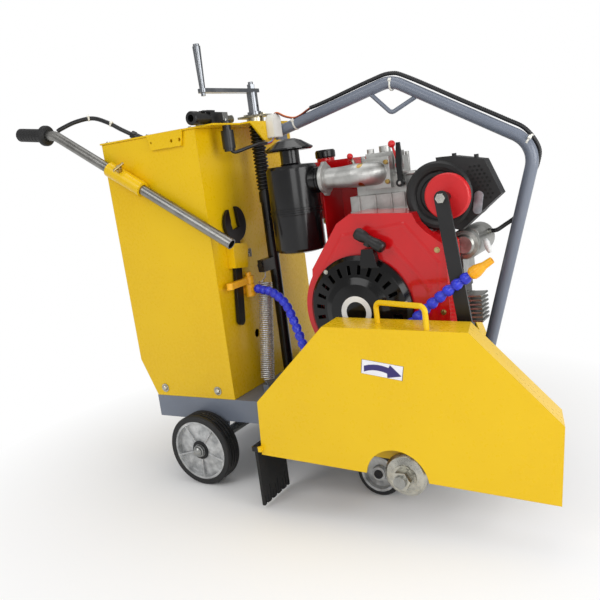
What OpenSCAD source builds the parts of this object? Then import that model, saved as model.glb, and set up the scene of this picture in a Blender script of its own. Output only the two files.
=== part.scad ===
// Walk-behind concrete saw: deck on four wheels, water-tank console, lifting hoop,
// single-cylinder diesel engine, belt-driven blade shaft and a steel blade guard.
// X runs forward, Y to the machine's left, Z up; the floor is at zero.

/* [Deck and tank] */
// top of the deck above the floor
deck_z = 209; // [195:1:225]
// bottom of the deck's side rails
rail_z = 152; // [140:1:165]
// half width of the deck and the tank
half_w = 214; // [208:1:222]
// rear end of the deck
deck_rear = -250; // [-260:1:-240]
// front end of the deck
deck_front = 640; // [630:1:660]
// top of the tank walls
tank_top = 861; // [850:1:875]

/* [Wheels] */
// rear wheel radius
rear_r = 90; // [84:1:94]
// rear axle, measured from the tank's front face
rear_x = -92; // [-100:1:-84]
// front wheel radius
front_r = 52; // [48:1:54]
// front axle, measured from the tank's front face
front_x = 360; // [350:1:366]

/* [Blade shaft] */
// blade shaft position along the machine
arbor_x = 470; // [464:1:476]
// blade shaft height
arbor_z = 111; // [106:1:116]
// radius of the blade clamping flanges
flange_r = 45; // [40:1:50]
// near plate of the guard
guard_y = -328; // [-334:1:-324]
// far plate of the guard
guard_back_y = -248; // [-250:1:-247]

/* [Engine] */
// crankshaft position along the machine
shaft_x = 357; // [352:1:362]
// crankshaft height
shaft_z = 428; // [422:1:434]
// radius of the recoil starter cover
recoil_r = 119; // [110:1:122]

/* [Hoop and handles] */
// hoop tube diameter
hoop_d = 26.9; // [22:0.1:30]
// plane of the hoop
hoop_y = 6; // [2:1:12]
// handle tube diameter
handle_d = 25; // [22:0.5:26]
// slope of the handle tubes in degrees
handle_slope = 31.7; // [28:0.1:34]
// near handle drawn out of its sleeve
near_out = 196; // [150:1:240]
// far handle drawn out of its sleeve
far_out = 70; // [60:1:100]

/* [Lift] */
// lift screw position along the machine
lift_x = 52; // [48:1:56]
// lift screw position across the machine
lift_y = -34; // [-38:1:-32]
// length of the crank arm
crank_arm = 163; // [140:1:180]

/* [Hidden] */
$fn = 48;
// the origin lies at the middle of the footprint, on the floor
origin = [110.25, -30.3, 0];
// radial clearance of a running fit
fit = 0.05;
handle_r = handle_d / 2;
hoop_r = hoop_d / 2;
handle_y = half_w + 18.5;
// upper end of each handle sleeve, and the tube's direction down from it
sleeve_top = [-263, 800];
sleeve_len = 113;
tube_len = 589;
down = [cos(handle_slope), -sin(handle_slope)];
bend_turn = 23;
// lean of the clamping screws away from the tank
screw_lean = 35;
grip_slope = handle_slope - bend_turn;
grip_run = 128;
cross_x = lift_x;
cross_z = rear_r + (front_r - rear_r) * (cross_x - rear_x) / (front_x - rear_x) + 22;
// the two arms of the front wheel frame
swing_arms = [-5, 155];
spring_top = [lift_x, -85, 492];
spring_foot = [lift_x - 2, -137, 226];
spring_mean_r = 16.5;
spring_wire = 3.2;
spring_curls = 50;
// silencer can
can_x = 536;
can_z = 652;
can_r = 69.5;
guide_pivot = [615, 185];
guide_tip = [566, 652];
key_at = [45, -150];
// throttle cable, from the near grip's collar to the gland on the top plate
cable_r = 5.5;
gland_foot = [-266, -88, 868];
gland_out = [-300, -94, 887];
cable_points = [[-452, -204, 917], [-445, -196, 923], [-420, -166, 937], [-392, -132, 942],
    [-360, -112, 926], [-330, -101, 905], gland_out];

// axis-aligned box between two corners
module box(a, b) {
    translate(a)
        cube(b - a);
}

// round bars along the three axes
module bar_y(x, z, y0, y1, r) {
    translate([x, y0, z])
        rotate([-90, 0, 0])
            cylinder(r = r, h = y1 - y0);
}
module bar_x(y, z, x0, x1, r) {
    translate([x0, y, z])
        rotate([0, 90, 0])
            cylinder(r = r, h = x1 - x0);
}
module bar_z(x, y, z0, z1, r) {
    translate([x, y, z0])
        cylinder(r = r, h = z1 - z0);
}

// side-view outline given thickness across the machine
module slab(points, y0, y1) {
    translate([0, y1, 0])
        rotate([90, 0, 0])
            linear_extrude(y1 - y0)
                polygon(points);
}

// turned piece about an axis along Y; outline in radius and Y
module turned_y(x, z, outline) {
    translate([x, 0, z])
        rotate([-90, 0, 0])
            rotate_extrude()
                polygon(outline);
}

// round bar bent in a side-view plane; each bend is a hair thicker than the straights that run into it
function unit(v) = v / norm(v);
function turn(a, b, c) = acos(max(-1, min(1, unit(b - a) * unit(c - b))));
function cut(a, b, c, bend) = bend * tan(turn(a, b, c) / 2);
module bent_bar(p, bend, r, y) {
    last = len(p) - 1;
    for (i = [0 : last - 1]) {
        d = unit(p[i + 1] - p[i]);
        s = i == 0 ? 0 : cut(p[i - 1], p[i], p[i + 1], bend);
        e = i == last - 1 ? 0 : cut(p[i], p[i + 1], p[i + 2], bend);
        from = p[i] + d * s;
        lap = i == 0 ? 0 : 0.6;
        translate([from[0] - d[0] * lap, y, from[1] - d[1] * lap])
            rotate([0, 90 - atan2(d[1], d[0]), 0])
                cylinder(r = r, h = norm(p[i + 1] - p[i]) - s - e + lap + (i == last - 1 ? 0 : 0.6));
    }
    for (i = [1 : 1 : last - 1]) {
        u = unit(p[i] - p[i - 1]);
        w = unit(p[i + 1] - p[i]);
        half = turn(p[i - 1], p[i], p[i + 1]) / 2;
        centre = p[i] + unit(w - u) * bend / cos(half);
        first = p[i] - u * cut(p[i - 1], p[i], p[i + 1], bend) - centre;
        left = u[0] * w[1] - u[1] * w[0] > 0;
        translate([centre[0], y, centre[1]])
            rotate([90, 0, 0])
                rotate([0, 0, atan2(first[1], first[0]) - (left ? 0 : 2 * half)])
                    rotate_extrude(angle = 2 * half)
                        translate([bend, 0])
                            circle(r + 0.04);
    }
}

// point list swept into one closed tube, with a radius for every ring
function tangent(p, i) = unit(p[min(i + 1, len(p) - 1)] - p[max(i - 1, 0)]);
function side_of(t, up) = unit(cross(t, up));
module swept(p, radii, sides, up = [0, 1, 0]) {
    n = len(p);
    points = [for (i = [0 : n - 1])
        let (t = tangent(p, i), a = side_of(t, up), b = cross(a, t))
        for (k = [0 : sides - 1])
            p[i] + radii[i] * (cos(360 * k / sides) * a + sin(360 * k / sides) * b)];
    walls = [for (i = [0 : n - 2], k = [0 : sides - 1])
        let (q = (k + 1) % sides)
        each [[i * sides + k, i * sides + q, (i + 1) * sides + q],
            [i * sides + k, (i + 1) * sides + q, (i + 1) * sides + k]]];
    caps = [[for (k = [sides - 1 : -1 : 0]) k], [for (k = [0 : sides - 1]) (n - 1) * sides + k]];
    polyhedron(points, concat(walls, caps));
}

// smooth curve through hand-set points
function spline(p, steps) = [for (i = [0 : len(p) - 2])
    let (a = p[max(i - 1, 0)], b = p[i], c = p[i + 1], d = p[min(i + 2, len(p) - 1)])
    for (k = [0 : steps - (i == len(p) - 2 ? 0 : 1)])
        let (t = k / steps)
        0.5 * (2 * b + (c - a) * t + (2 * a - 5 * b + 4 * c - d) * t * t
            + (3 * b - a - 3 * c + d) * t * t * t)];

// frame of a handle tube at its sleeve: X runs down the tube
module at_sleeve(y) {
    translate([sleeve_top[0], y, sleeve_top[1]])
        rotate([0, handle_slope, 0])
            children();
}
function bend_at(out) = sleeve_top - down * out;
function grip_end(out) = bend_at(out) + grip_run * [-cos(grip_slope), sin(grip_slope)];
// frame of a grip at the tube's rear end: X runs forward along the tube
module at_grip(y, out) {
    e = grip_end(out);
    translate([e[0], y, e[1]])
        rotate([0, grip_slope, 0])
            children();
}

// outline around two round pulleys joined by straight sides
module loop_outline(x1, z1, r1, x2, z2, r2) {
    d = [x2 - x1, z2 - z1];
    a = acos((r1 - r2) / norm(d));
    h = atan2(d[1], d[0]);
    translate([x1, z1])
        circle(r1);
    translate([x2, z2])
        circle(r2);
    polygon([[x1 + r1 * cos(h + a), z1 + r1 * sin(h + a)], [x2 + r2 * cos(h + a), z2 + r2 * sin(h + a)],
        [x2 + r2 * cos(h - a), z2 + r2 * sin(h - a)], [x1 + r1 * cos(h - a), z1 + r1 * sin(h - a)]]);
}
module drive_outline(r1, r2) {
    loop_outline(shaft_x, shaft_z, r1, arbor_x, arbor_z, r2);
}
module upright(y0, y1) {
    translate([0, y1, 0])
        rotate([90, 0, 0])
            linear_extrude(y1 - y0)
                children();
}

// deck plate, side rails, cross members, axle hangers and the post for the hose fitting
module deck_frame() {
    color([0.40, 0.44, 0.49])
    difference() {
        union() {
            box([deck_rear, -half_w, deck_z - 5], [deck_front, half_w, deck_z]);
            for (y = [-half_w, half_w - 6])
                box([deck_rear, y, rail_z], [deck_front, y + 6, deck_z]);
            for (x = [deck_rear, 236, deck_front - 6])
                box([x, -half_w, rail_z + 6], [x + 6, half_w, deck_z]);
            for (y = [-179, 179])
                slab([[rear_x - 48, deck_z - 4], [rear_x + 48, deck_z - 4], [rear_x + 22, 62],
                    [rear_x - 22, 62]], y - 4, y + 4);
            bar_y(guide_pivot[0], guide_pivot[1], -half_w - 3.6, -half_w + 3, 16);
            box([438, -half_w - 5, rail_z + 8], [470, -half_w, 372]);
            box([42, -147, deck_z - 1], [58, -131, deck_z + 18]);
            translate([0, 0, rail_z + 6])
                linear_extrude(deck_z - rail_z - 6)
                    polygon([[632, 12], [640, 12], [538.5, half_w], [530.5, half_w]]);
        }
        // the far front corner is cut off along the slanting edge plate
        translate([0, 0, rail_z - 5])
            linear_extrude(deck_z - rail_z + 10)
                polygon([[640, 12], [538.5, half_w], [538.5, half_w + 10], [720, half_w + 10], [720, 12]]);
        bar_z(lift_x, lift_y, deck_z - 10, deck_z + 10, 20);
        bar_z(50, -138.3, deck_z - 10, deck_z + 30, 3.3);
        bar_y(rear_x, rear_r, -190, 190, 12.5 + fit);
        bar_y(guide_pivot[0], guide_pivot[1], -half_w - 10, -half_w + 10, 6 + fit);
    }
}

// folded sheet water tank with its two handle sleeves
module tank_body() {
    shell = [[-248, deck_z + 0.3], [-288, 305], [-294, tank_top], [0, tank_top], [0, deck_z + 0.3]];
    room = [[-245, deck_z + 3.3], [-285, 305], [-291, tank_top + 5], [-3, tank_top + 5],
        [-3, deck_z + 3.3]];
    color([0.91, 0.76, 0.13])
    union() {
        difference() {
            slab(shell, -half_w, half_w);
            slab(room, -half_w + 3, half_w - 3);
            for (x = [-219, -48.5])
                bar_y(x, 230, -half_w - 5, half_w + 5, 5 + fit);
            bar_x(-80, 343, -10, 10, 11);
            bar_x(-112, 465, -10, 10, 8);
        }
        for (s = [-1, 1])
            difference() {
                at_sleeve(s * handle_y)
                    rotate([0, 90, 0])
                        cylinder(r = 18.6, h = sleeve_len);
                at_sleeve(s * handle_y)
                    translate([-5, 0, 0])
                        rotate([0, 90, 0])
                            cylinder(r = handle_r + fit, h = sleeve_len + 10);
                at_sleeve(s * handle_y)
                    translate([40, 0, 0])
                        rotate([-s * screw_lean, 0, 0])
                            cylinder(r = 4 + fit, h = 30);
            }
    }
}

// top plate with the drilled side tab and the forward tongue that carries the lift screw
module top_panel() {
    color([0.93, 0.79, 0.15])
    difference() {
        union() {
            box([-297, -half_w - 3, tank_top + 0.3], [57, half_w + 3, tank_top + 4.3]);
            box([50, -112, tank_top + 0.3], [88, 60, tank_top + 4.3]);
            translate([84, 0, 0])
                rotate([90, 0, 90])
                    linear_extrude(4)
                        polygon([[-112, tank_top + 1], [60, tank_top + 1], [60, 820], [-62, 820]]);
            slab([[-140, tank_top + 4.3], [-31, tank_top + 4.3], [-40, 828], [-132, 828]],
                -half_w - 7, -half_w - 3);
        }
        bar_z(lift_x, lift_y, tank_top - 5, tank_top + 10, 13);
        bar_z(key_at[0], key_at[1], tank_top - 5, tank_top + 10, 10 + fit);
        bar_z(-70, -95, tank_top - 5, tank_top + 10, 11);
        for (x = [-66, -41.6])
            bar_y(x, 842.5, -half_w - 20, -half_w + 2, 4);
        bar_y(-128, 845.5, -half_w - 20, -half_w + 2, 2.5);
    }
}

// dome-headed bolts that hold the tank to the deck, two a side
module tank_bolts() {
    color([0.75, 0.76, 0.78])
    for (x = [-219, -48.5], s = [-1, 1])
        translate([x, s * half_w, 230])
            rotate([s * -90, 0, 0]) {
                rotate_extrude()
                    polygon([[0, 0.1], [11, 0.1], [11, 2], [8, 2.2], [7.4, 5.6], [4.5, 8.2], [0, 9]]);
                translate([0, 0, -14])
                    cylinder(r = 5, h = 14.2);
            }
}

// drawn steel tube, open at its lower end, bent towards the grip
module handle_tube(y, out) {
    b = bend_at(out);
    low = b + down * tube_len;
    color([0.72, 0.73, 0.74])
    difference() {
        bent_bar([low, b, grip_end(out)], 40, handle_r, y);
        translate([low[0], y, low[1]])
            rotate([0, handle_slope - 90, 0])
                translate([0, 0, -5])
                    cylinder(r = handle_r - 2.5, h = tube_len - 25);
    }
}
module handle_tube_near() {
    handle_tube(-handle_y, near_out);
}
module handle_tube_far() {
    handle_tube(handle_y, far_out);
}

// ribbed rubber grip with a flanged collar
module grip(y, out) {
    ribs = [for (i = [0 : 6]) let (x = 4 + i * 11) each [[17, x], [17, x + 7], [16, x + 8], [16, x + 10]]];
    color([0.10, 0.10, 0.11])
    at_grip(y, out)
        rotate([0, 90, 0])
            difference() {
                rotate_extrude()
                    polygon(concat([[0, -5], [15, -5], [17, -2]], ribs,
                        [[17, 84], [24, 86], [26, 89], [26, 96], [23, 100], [16, 102], [0, 102]]));
                translate([0, 0, -0.4])
                    cylinder(r = handle_r + fit, h = 120);
            }
}
module grip_near() {
    grip(-handle_y, near_out);
}
module grip_far() {
    grip(handle_y, far_out);
}

// clamping screw with a cross bar, through the top of a sleeve
module clamp_screw(y) {
    color([0.78, 0.78, 0.76])
    at_sleeve(y)
        translate([40, 0, 0])
            rotate([y < 0 ? screw_lean : -screw_lean, 0, 0]) {
                translate([0, 0, handle_r + 0.4])
                    cylinder(r = 4, h = 16);
                translate([0, 0, 19])
                    cylinder(r = 8, h = 10, $fn = 6);
                translate([0, -16, 32])
                    rotate([-90, 0, 0])
                        cylinder(r = 3.2, h = 32);
                translate([0, 0, 28])
                    cylinder(r = 5, h = 6);
            }
}
module clamp_screw_near() {
    clamp_screw(-handle_y);
}
module clamp_screw_far() {
    clamp_screw(handle_y);
}

// water inlet along the front of the top plate: knurled union, body and block
module inlet_valve() {
    z = tank_top + 20;
    color([0.50, 0.51, 0.53])
    difference() {
        union() {
            turned_y(20, z, [[8, -246], [14, -246], [15.5, -244], [15.5, -226], [14, -224], [13, -224],
                [13, -196], [11, -194], [11, -182], [6, -182], [6, -196], [8, -196]]);
            box([6, -184, tank_top + 4.4], [31, -118, z + 13]);
            bar_y(20, z - 2, -120, -92, 9);
            bar_x(-96, z - 2, -78, 26, 9);
            bar_z(-70, -96, tank_top - 6, z - 2, 9);
        }
        bar_y(20, z, -250, -196, 8);
        bar_y(20, z, -197, -150, 6);
        bar_z(20, -168, z, z + 20, 4 + fit);
    }
}

// lever of the inlet valve
module inlet_lever() {
    z = tank_top + 33.4;
    color([0.08, 0.08, 0.09]) {
        bar_z(20, -168, z - 9, z + 5, 4);
        difference() {
            box([14, -206, z + 0.4], [26, -160, z + 4.4]);
            bar_y(20, z + 30, -210, -190, 27);
        }
    }
}

// barrel of the engine switch, hanging through the front of the top plate
module key_switch() {
    color([0.09, 0.09, 0.10])
    difference() {
        union() {
            bar_z(key_at[0], key_at[1], 808, 850, 15);
            bar_z(key_at[0], key_at[1], 849, tank_top + 4.8, 10);
            bar_z(key_at[0], key_at[1], 802, 809, 12.5);
            bar_z(key_at[0], key_at[1], tank_top + 4.6, tank_top + 10, 12.5);
        }
        bar_z(key_at[0], key_at[1], tank_top - 8, tank_top + 20, 3 + fit);
    }
}

// key of the engine switch
module switch_key() {
    color([0.72, 0.72, 0.70]) {
        bar_z(key_at[0], key_at[1], tank_top - 7, tank_top + 16, 3);
        box([key_at[0] - 1.2, key_at[1] - 9, tank_top + 13],
            [key_at[0] + 1.2, key_at[1] + 9, tank_top + 30]);
    }
}

// moulded cover over the wiring joint at the end of the hoop
module wire_cover() {
    color([0.90, 0.90, 0.87])
    difference() {
        union() {
            box([88.3, -46, 824], [110, -10, 862]);
            bar_x(-28, 862, 88.3, 110, 18);
        }
        box([92, -42, 818], [106, -14, 858]);
    }
}

// lifting hoop of bent tube with its foot plate, tongue plate and lifting eye
hoop_line = [[92.5, 839.1], [398, 908.5], [702, 729], [549, deck_z + 8]];
module hoop() {
    color([0.42, 0.44, 0.49])
    union() {
        bent_bar(hoop_line, 62, hoop_r, hoop_y);
        difference() {
            box([530, hoop_y - 50, deck_z + 0.2], [600, hoop_y + 50, deck_z + 8.5]);
            for (x = [544, 588], y = [-38, 38])
                bar_z(x, hoop_y + y, deck_z, deck_z + 10, 5.5);
        }
        box([88.3, hoop_y - 14, 819], [95, hoop_y + 30, 858]);
        bent_bar([[340, 893], [392, 838], [462, 868]], 12, 5, hoop_y);
    }
}

// wiring sleeve strapped to the top of the hoop and led to the starter motor
module cable_loom() {
    lift = hoop_r + 5.2;
    far = hoop_y + hoop_r + 5.4;
    route = spline([[113, -24, 862], [128, -16, 868], [150, -2, 852 + lift + 3], [230, hoop_y, 871 + lift],
        [345, hoop_y, 897.5 + lift], [398, hoop_y, 905 + lift], [440, hoop_y, 885 + lift + 4],
        [560, hoop_y, 813 + lift + 5], [640, hoop_y, 766 + lift + 5], [680, hoop_y + 7, 742 + lift + 2],
        [702, far - 1, 722], [698, far, 690], [684, far, 660], [668, far, 606], [648, far - 1, 582],
        [622, 17, 565], [608, 9, 557], [597, 8, 556]], 4);
    color([0.07, 0.07, 0.08])
    swept(route, [for (q = route) 4], 8);
}

// crank with its arm, grip pin and the lift screw below it
module crank() {
    color([0.78, 0.79, 0.80])
    difference() {
        union() {
            bar_z(lift_x, lift_y, 891, 938, 13);
            bar_z(lift_x, lift_y, 883.4, 892, 17);
            bar_z(lift_x, lift_y, 452, 888, 10);
            translate([lift_x, lift_y, 0])
                rotate([0, 0, -100.6]) {
                    box([-16, -11, 937], [crank_arm - 4, 11, 946]);
                    bar_z(crank_arm - 4, 0, 937, 946, 11);
                    bar_z(crank_arm - 4, 0, 930, 1042, 5);
                    bar_z(crank_arm - 4, 0, 1038.5, 1043, 7);
                }
            translate([lift_x, lift_y, 945])
                cylinder(r = 10, h = 12, $fn = 6);
            bar_z(lift_x, lift_y, 956, 963, 6);
        }
        bar_x(lift_y, 905, lift_x - 30, lift_x + 30, 3);
    }
}

// turning grip of the crank
module crank_grip() {
    color([0.70, 0.71, 0.73])
    translate([lift_x, lift_y, 0])
        rotate([0, 0, -100.6])
            translate([crank_arm - 4, 0, 0])
                difference() {
                    translate([0, 0, 946.4])
                        cylinder(r1 = 6.6, r2 = 9, h = 91.6);
                    cylinder(r = 5 + fit, h = 1100);
                }
}

// plated bearing of the lift screw on the tongue, with its spacer plate
module screw_bearing() {
    color([0.80, 0.79, 0.74])
    difference() {
        union() {
            bar_z(lift_x, lift_y, tank_top + 4.4, 880, 21);
            box([lift_x - 34, lift_y - 26, 878], [lift_x + 34, lift_y + 26, 883]);
            for (x = [-25, 25])
                translate([lift_x + x, lift_y, 882])
                    cylinder(r = 7, h = 6, $fn = 6);
        }
        bar_z(lift_x, lift_y, 850, 900, 10 + fit);
    }
}

// lift tube with the screw's nut at its top, spring lug and foot saddle
module lift_tube() {
    color([0.07, 0.07, 0.08])
    difference() {
        union() {
            bar_z(lift_x, lift_y, 134, 702, 14);
            bar_z(lift_x, lift_y, 672, 698, 16.5);
            box([lift_x - 27, lift_y - 20, 80], [lift_x + 27, lift_y + 20, 138]);
            box([lift_x - 9, -98, 504], [lift_x + 9, lift_y - 5, 534]);
            translate([lift_x, -97, 522])
                rotate([90, 0, 0])
                    cylinder(r = 8, h = 6, $fn = 6);
        }
        bar_z(lift_x, lift_y, 430, 680, 10.8);
        bar_z(lift_x, lift_y, 670, 710, 10 + fit);
        box([lift_x - 19, lift_y - 30, 70], [lift_x + 19, lift_y + 30, cross_z + 15.6]);
        box([lift_x - 5, -91, 500], [lift_x + 5, -77, 516]);
    }
}

// convoluted rubber sleeve over the lift screw
module bellows() {
    folds = 18;
    z0 = 702.4;
    step = (860.8 - z0 - 12) / folds;
    outer = [for (i = [0 : folds]) each [[14, z0 + 6 + i * step], [18, z0 + 6 + (i + 0.5) * step]]];
    top = len(outer) - 2;
    wall = concat([[14, z0]], [for (i = [0 : top]) outer[i]], [[14, 860.8]]);
    color([0.06, 0.06, 0.07])
    translate([lift_x, lift_y, 0])
        rotate_extrude()
            polygon(concat(wall, [for (i = [len(wall) - 1 : -1 : 0]) wall[i] - [1.3, 0]]));
}

// tension spring between the lift tube's lug and the deck, one unbroken wire
module lift_spring() {
    axis = spring_foot - spring_top;
    long = norm(axis);
    d = axis / long;
    a = unit(cross(d, [1, 0, 0]));
    b = cross(d, a);
    lead = 14;
    per = 8;
    count = spring_curls * per;
    pitch = (long - 2 * lead) / spring_curls;
    coil = [for (i = [0 : count])
        spring_top + d * (lead + pitch * i / per)
            + spring_mean_r * (cos(360 * i / per) * a + sin(360 * i / per) * b)];
    first = [spring_top - d * 19, spring_top - d * 9, spring_top + d * 1, spring_top + d * 5 + a * 3,
        spring_top + d * 8 + a * 9];
    final = [spring_foot - d * 8 + a * 9, spring_foot - d * 5 + a * 3, spring_foot - d * 1,
        spring_foot + d * 4,
        spring_foot + d * 13];
    wire = concat(first, coil, final);
    // least distance between the wire and its own next turn, on the points drawn
    gaps = [for (i = [0 : count - 2 * per], k = [per - 2 : per + 2])
        norm(coil[i + k] - coil[i]) - spring_wire];
    echo(spring_gap = min(gaps));
    color([0.72, 0.73, 0.74])
    swept(wire, [for (q = wire) spring_wire / 2], 6, up = d + [0.001, 0.002, 0]);
}

// front wheel frame, turning on the rear axle and carrying the front stub axles
module swing_frame() {
    color([0.28, 0.30, 0.33])
    difference() {
        union() {
            for (y = swing_arms) {
                slab([[rear_x, rear_r + 18], [front_x, front_r + 17], [front_x, front_r - 17],
                    [rear_x, rear_r - 18]], y - 5, y + 5);
                slab([[cross_x - 26, cross_z - 16], [cross_x - 17, cross_z + 14],
                    [cross_x + 17, cross_z + 14], [cross_x + 26, cross_z - 16]], y - 5, y + 5);
                bar_y(rear_x, rear_r, y - 12, y + 12, 20);
                bar_y(front_x, front_r, y - 6, y + 6, 19);
            }
            bar_y(cross_x, cross_z, -58, swing_arms[1], 15);
            bar_y(front_x, front_r, -206.5, 206.5, 10);
            for (s = [-1, 1])
                bar_y(front_x, front_r, s * 165 - 3.5, s * 165 + 3.5, 15);
        }
        bar_y(rear_x, rear_r, -180, 180, 12.5 + fit);
    }
}

// through axle of the rear wheels with a domed nut at each end
module rear_axle() {
    color([0.70, 0.71, 0.72])
    union() {
        bar_y(rear_x, rear_r, -270, 270, 12.5);
        for (s = [-1, 1])
            translate([rear_x, s * 269.4, rear_r])
                rotate([s * -90, 0, 0])
                    rotate_extrude()
                        polygon([[0, 0], [15, 0], [15, 3], [12.5, 4], [11.5, 8], [7, 11], [0, 12]]);
    }
}

// cast aluminium wheel with ribs and a grooved rubber tread
module rear_wheel(s) {
    y = s * 245;
    color([0.62, 0.64, 0.66])
    difference() {
        union() {
            turned_y(rear_x, rear_r, [[70, y - 22], [75.5, y - 22], [75.5, y + 22], [70, y + 22],
                [68, y + 11], [26, y + 15], [22, y + 21], [0, y + 21], [0, y - 21], [22, y - 21],
                [26, y - 15], [68, y - 11]]);
            for (i = [0 : 4])
                translate([rear_x, y, rear_r])
                    rotate([0, i * 72 + 20, 0])
                        box([23, -18, -2], [71, 18, 2]);
        }
        bar_y(rear_x, rear_r, y - 40, y + 40, 12.5 + fit);
    }
    color([0.09, 0.09, 0.09])
    turned_y(rear_x, rear_r, concat([[75.6, y - 23.6], [87, y - 23.6], [rear_r, y - 20]],
        [for (g = [-10, 0, 10]) each [[rear_r, y + g - 1.6], [86.5, y + g - 1.6], [86.5, y + g + 1.6],
            [rear_r, y + g + 1.6]]], [[rear_r, y + 20], [87, y + 23.6], [75.6, y + 23.6]]));
}
module rear_wheel_near() {
    rear_wheel(-1);
}
module rear_wheel_far() {
    rear_wheel(1);
}

// small front wheel: aluminium centre with a rubber tread
module front_wheel(s) {
    y = s * 186;
    color([0.60, 0.61, 0.63])
    turned_y(front_x, front_r, [[10 + fit, y - 17], [16, y - 17], [18, y - 6], [34, y - 6], [36, y - 17],
        [42, y - 17], [42, y + 17], [36, y + 17], [34, y + 6], [18, y + 6], [16, y + 17],
        [10 + fit, y + 17]]);
    color([0.09, 0.09, 0.09])
    turned_y(front_x, front_r, [[42.1, y - 18], [49, y - 18], [front_r, y - 14], [front_r, y + 14],
        [49, y + 18], [42.1, y + 18]]);
}
module front_wheel_near() {
    front_wheel(-1);
}
module front_wheel_far() {
    front_wheel(1);
}

// frame of the spanner on the tank's front: Z runs up its shank
module at_spanner() {
    translate([4, -140, 500])
        rotate([-7.5, 0, 0])
            children();
}

// forged open-ended spanner
module spanner() {
    color([0.10, 0.10, 0.11])
    at_spanner()
        rotate([90, 0, 90])
            linear_extrude(9)
                difference() {
                    union() {
                        translate([-13, -104])
                            square([26, 200]);
                        translate([0, -104])
                            circle(13);
                        translate([0, 132])
                            circle(43);
                    }
                    translate([-6, 150])
                        rotate(14)
                            square([32, 60], center = true);
                    translate([-4, 134])
                        circle(16);
                }
}

// open pocket that holds the spanner, with its wing bolt
module spanner_holder() {
    color([0.91, 0.76, 0.13])
    difference() {
        at_spanner()
            translate([-3.6, 0, 0])
                rotate([90, 0, 90])
                    linear_extrude(22)
                        polygon([[-32, 84], [32, 84], [26, 24], [-26, 24]]);
        at_spanner()
            box([-0.6, -13.6, 0], [9.6, 13.6, 100]);
        box([-60, -300, 400], [0.3, 100, 700]);
    }
    color([0.80, 0.80, 0.78]) {
        at_spanner()
            translate([9, 0, 60])
                rotate([-90, 0, 0])
                    translate([0, 0, 29])
                        cylinder(r = 4, h = 18);
        at_spanner()
            box([7, 46.6, 50], [11, 56, 70]);
    }
}

// water valve on the tank's front, and the junction fitting on the deck post
module water_valve() {
    color([0.95, 0.66, 0.10])
    difference() {
        union() {
            bar_x(-112, 465, 0.3, 36, 10);
            bar_x(-112, 465, 0.3, 8, 13);
            bar_z(20, -112, 448, 479, 13);
            bar_z(20, -112, 478, 508, 8);
        }
        bar_x(-112, 465, -5, 60, 5.5);
    }
    color([0.95, 0.66, 0.10])
    difference() {
        union() {
            box([444, -243, 374], [466, -225, 396]);
            box([440, -228, 372.3], [468, -half_w + 2, 376.3]);
            translate([430.3, -235.5, 360.2])
                rotate([0, 90 - 41.5, 0])
                    cylinder(r = 8.5, h = 64.5);
        }
        translate([430.3, -235.5, 360.2])
            rotate([0, 90 - 41.5, 0])
                translate([0, 0, -5])
                    cylinder(r = 5, h = 80);
    }
}

// paddle lever on the water valve's stem
module valve_lever() {
    color([0.96, 0.70, 0.14])
    difference() {
        union() {
            bar_z(20, -112, 480, 498, 13);
            box([14, -192, 480.5], [26, -112, 496]);
            bar_z(20, -192, 480.5, 496, 9);
        }
        bar_z(20, -112, 470, 500, 8 + fit);
    }
}

// ball-jointed hose with a bore: a waist and a bulge for every link
module link_hose(p, links) {
    n = links * 2;
    total = len(p) - 1;
    line = [for (i = [0 : n])
        let (t = i * total / n, k = min(floor(t), total - 1))
        p[k] + (p[k + 1] - p[k]) * (t - k)];
    start = line[0] - unit(line[1] - line[0]) * 21;
    end = line[n] + unit(line[n] - line[n - 1]) * 21;
    all = concat([start], line, [end]);
    wide = [for (i = [0 : n + 2]) i == 0 || i >= n + 1 ? 8.2 : (i % 2 == 0 ? 10.4 : 8)];
    difference() {
        swept(all, wide, 8);
        swept(concat([start - unit(line[1] - line[0]) * 2], line, [end + unit(line[n] - line[n - 1]) * 2]),
            [for (q = all) 5.4], 8);
    }
}

// supply hose from the tank's valve to the junction behind the guard
module hose_supply() {
    color([0.13, 0.16, 0.75])
    link_hose(spline([[60, -121, 465], [100, -136, 460], [143, -155, 438], [176, -180, 404],
        [206, -205, 360], [230, -224, 322], [264, -233, 293], [312, -235, 284], [357, -235.5, 297],
        [391, -235.5, 325.4], [414.4, -235.5, 346.1]], 6), 23);
}

// hose from the junction up to the front nozzle
module hose_front() {
    color([0.13, 0.16, 0.75])
    link_hose(spline([[494.5, -235.5, 417], [516, -236, 436.1], [543, -237, 457], [570, -238, 476],
        [597, -238, 493]], 6),
        6);
}

// tapered outlet nozzle of the front hose
module hose_nozzle() {
    color([0.97, 0.68, 0.08])
    translate([614.8, -238, 504.2])
        rotate([0, 90 - 32.2, 0])
            rotate_extrude()
                polygon([[4, 0.5], [9.5, 0.5], [12.5, 5], [12.5, 15], [10, 24], [7.5, 32], [6.5, 50],
                    [3.5, 50], [3.5, 32]]);
}

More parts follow.
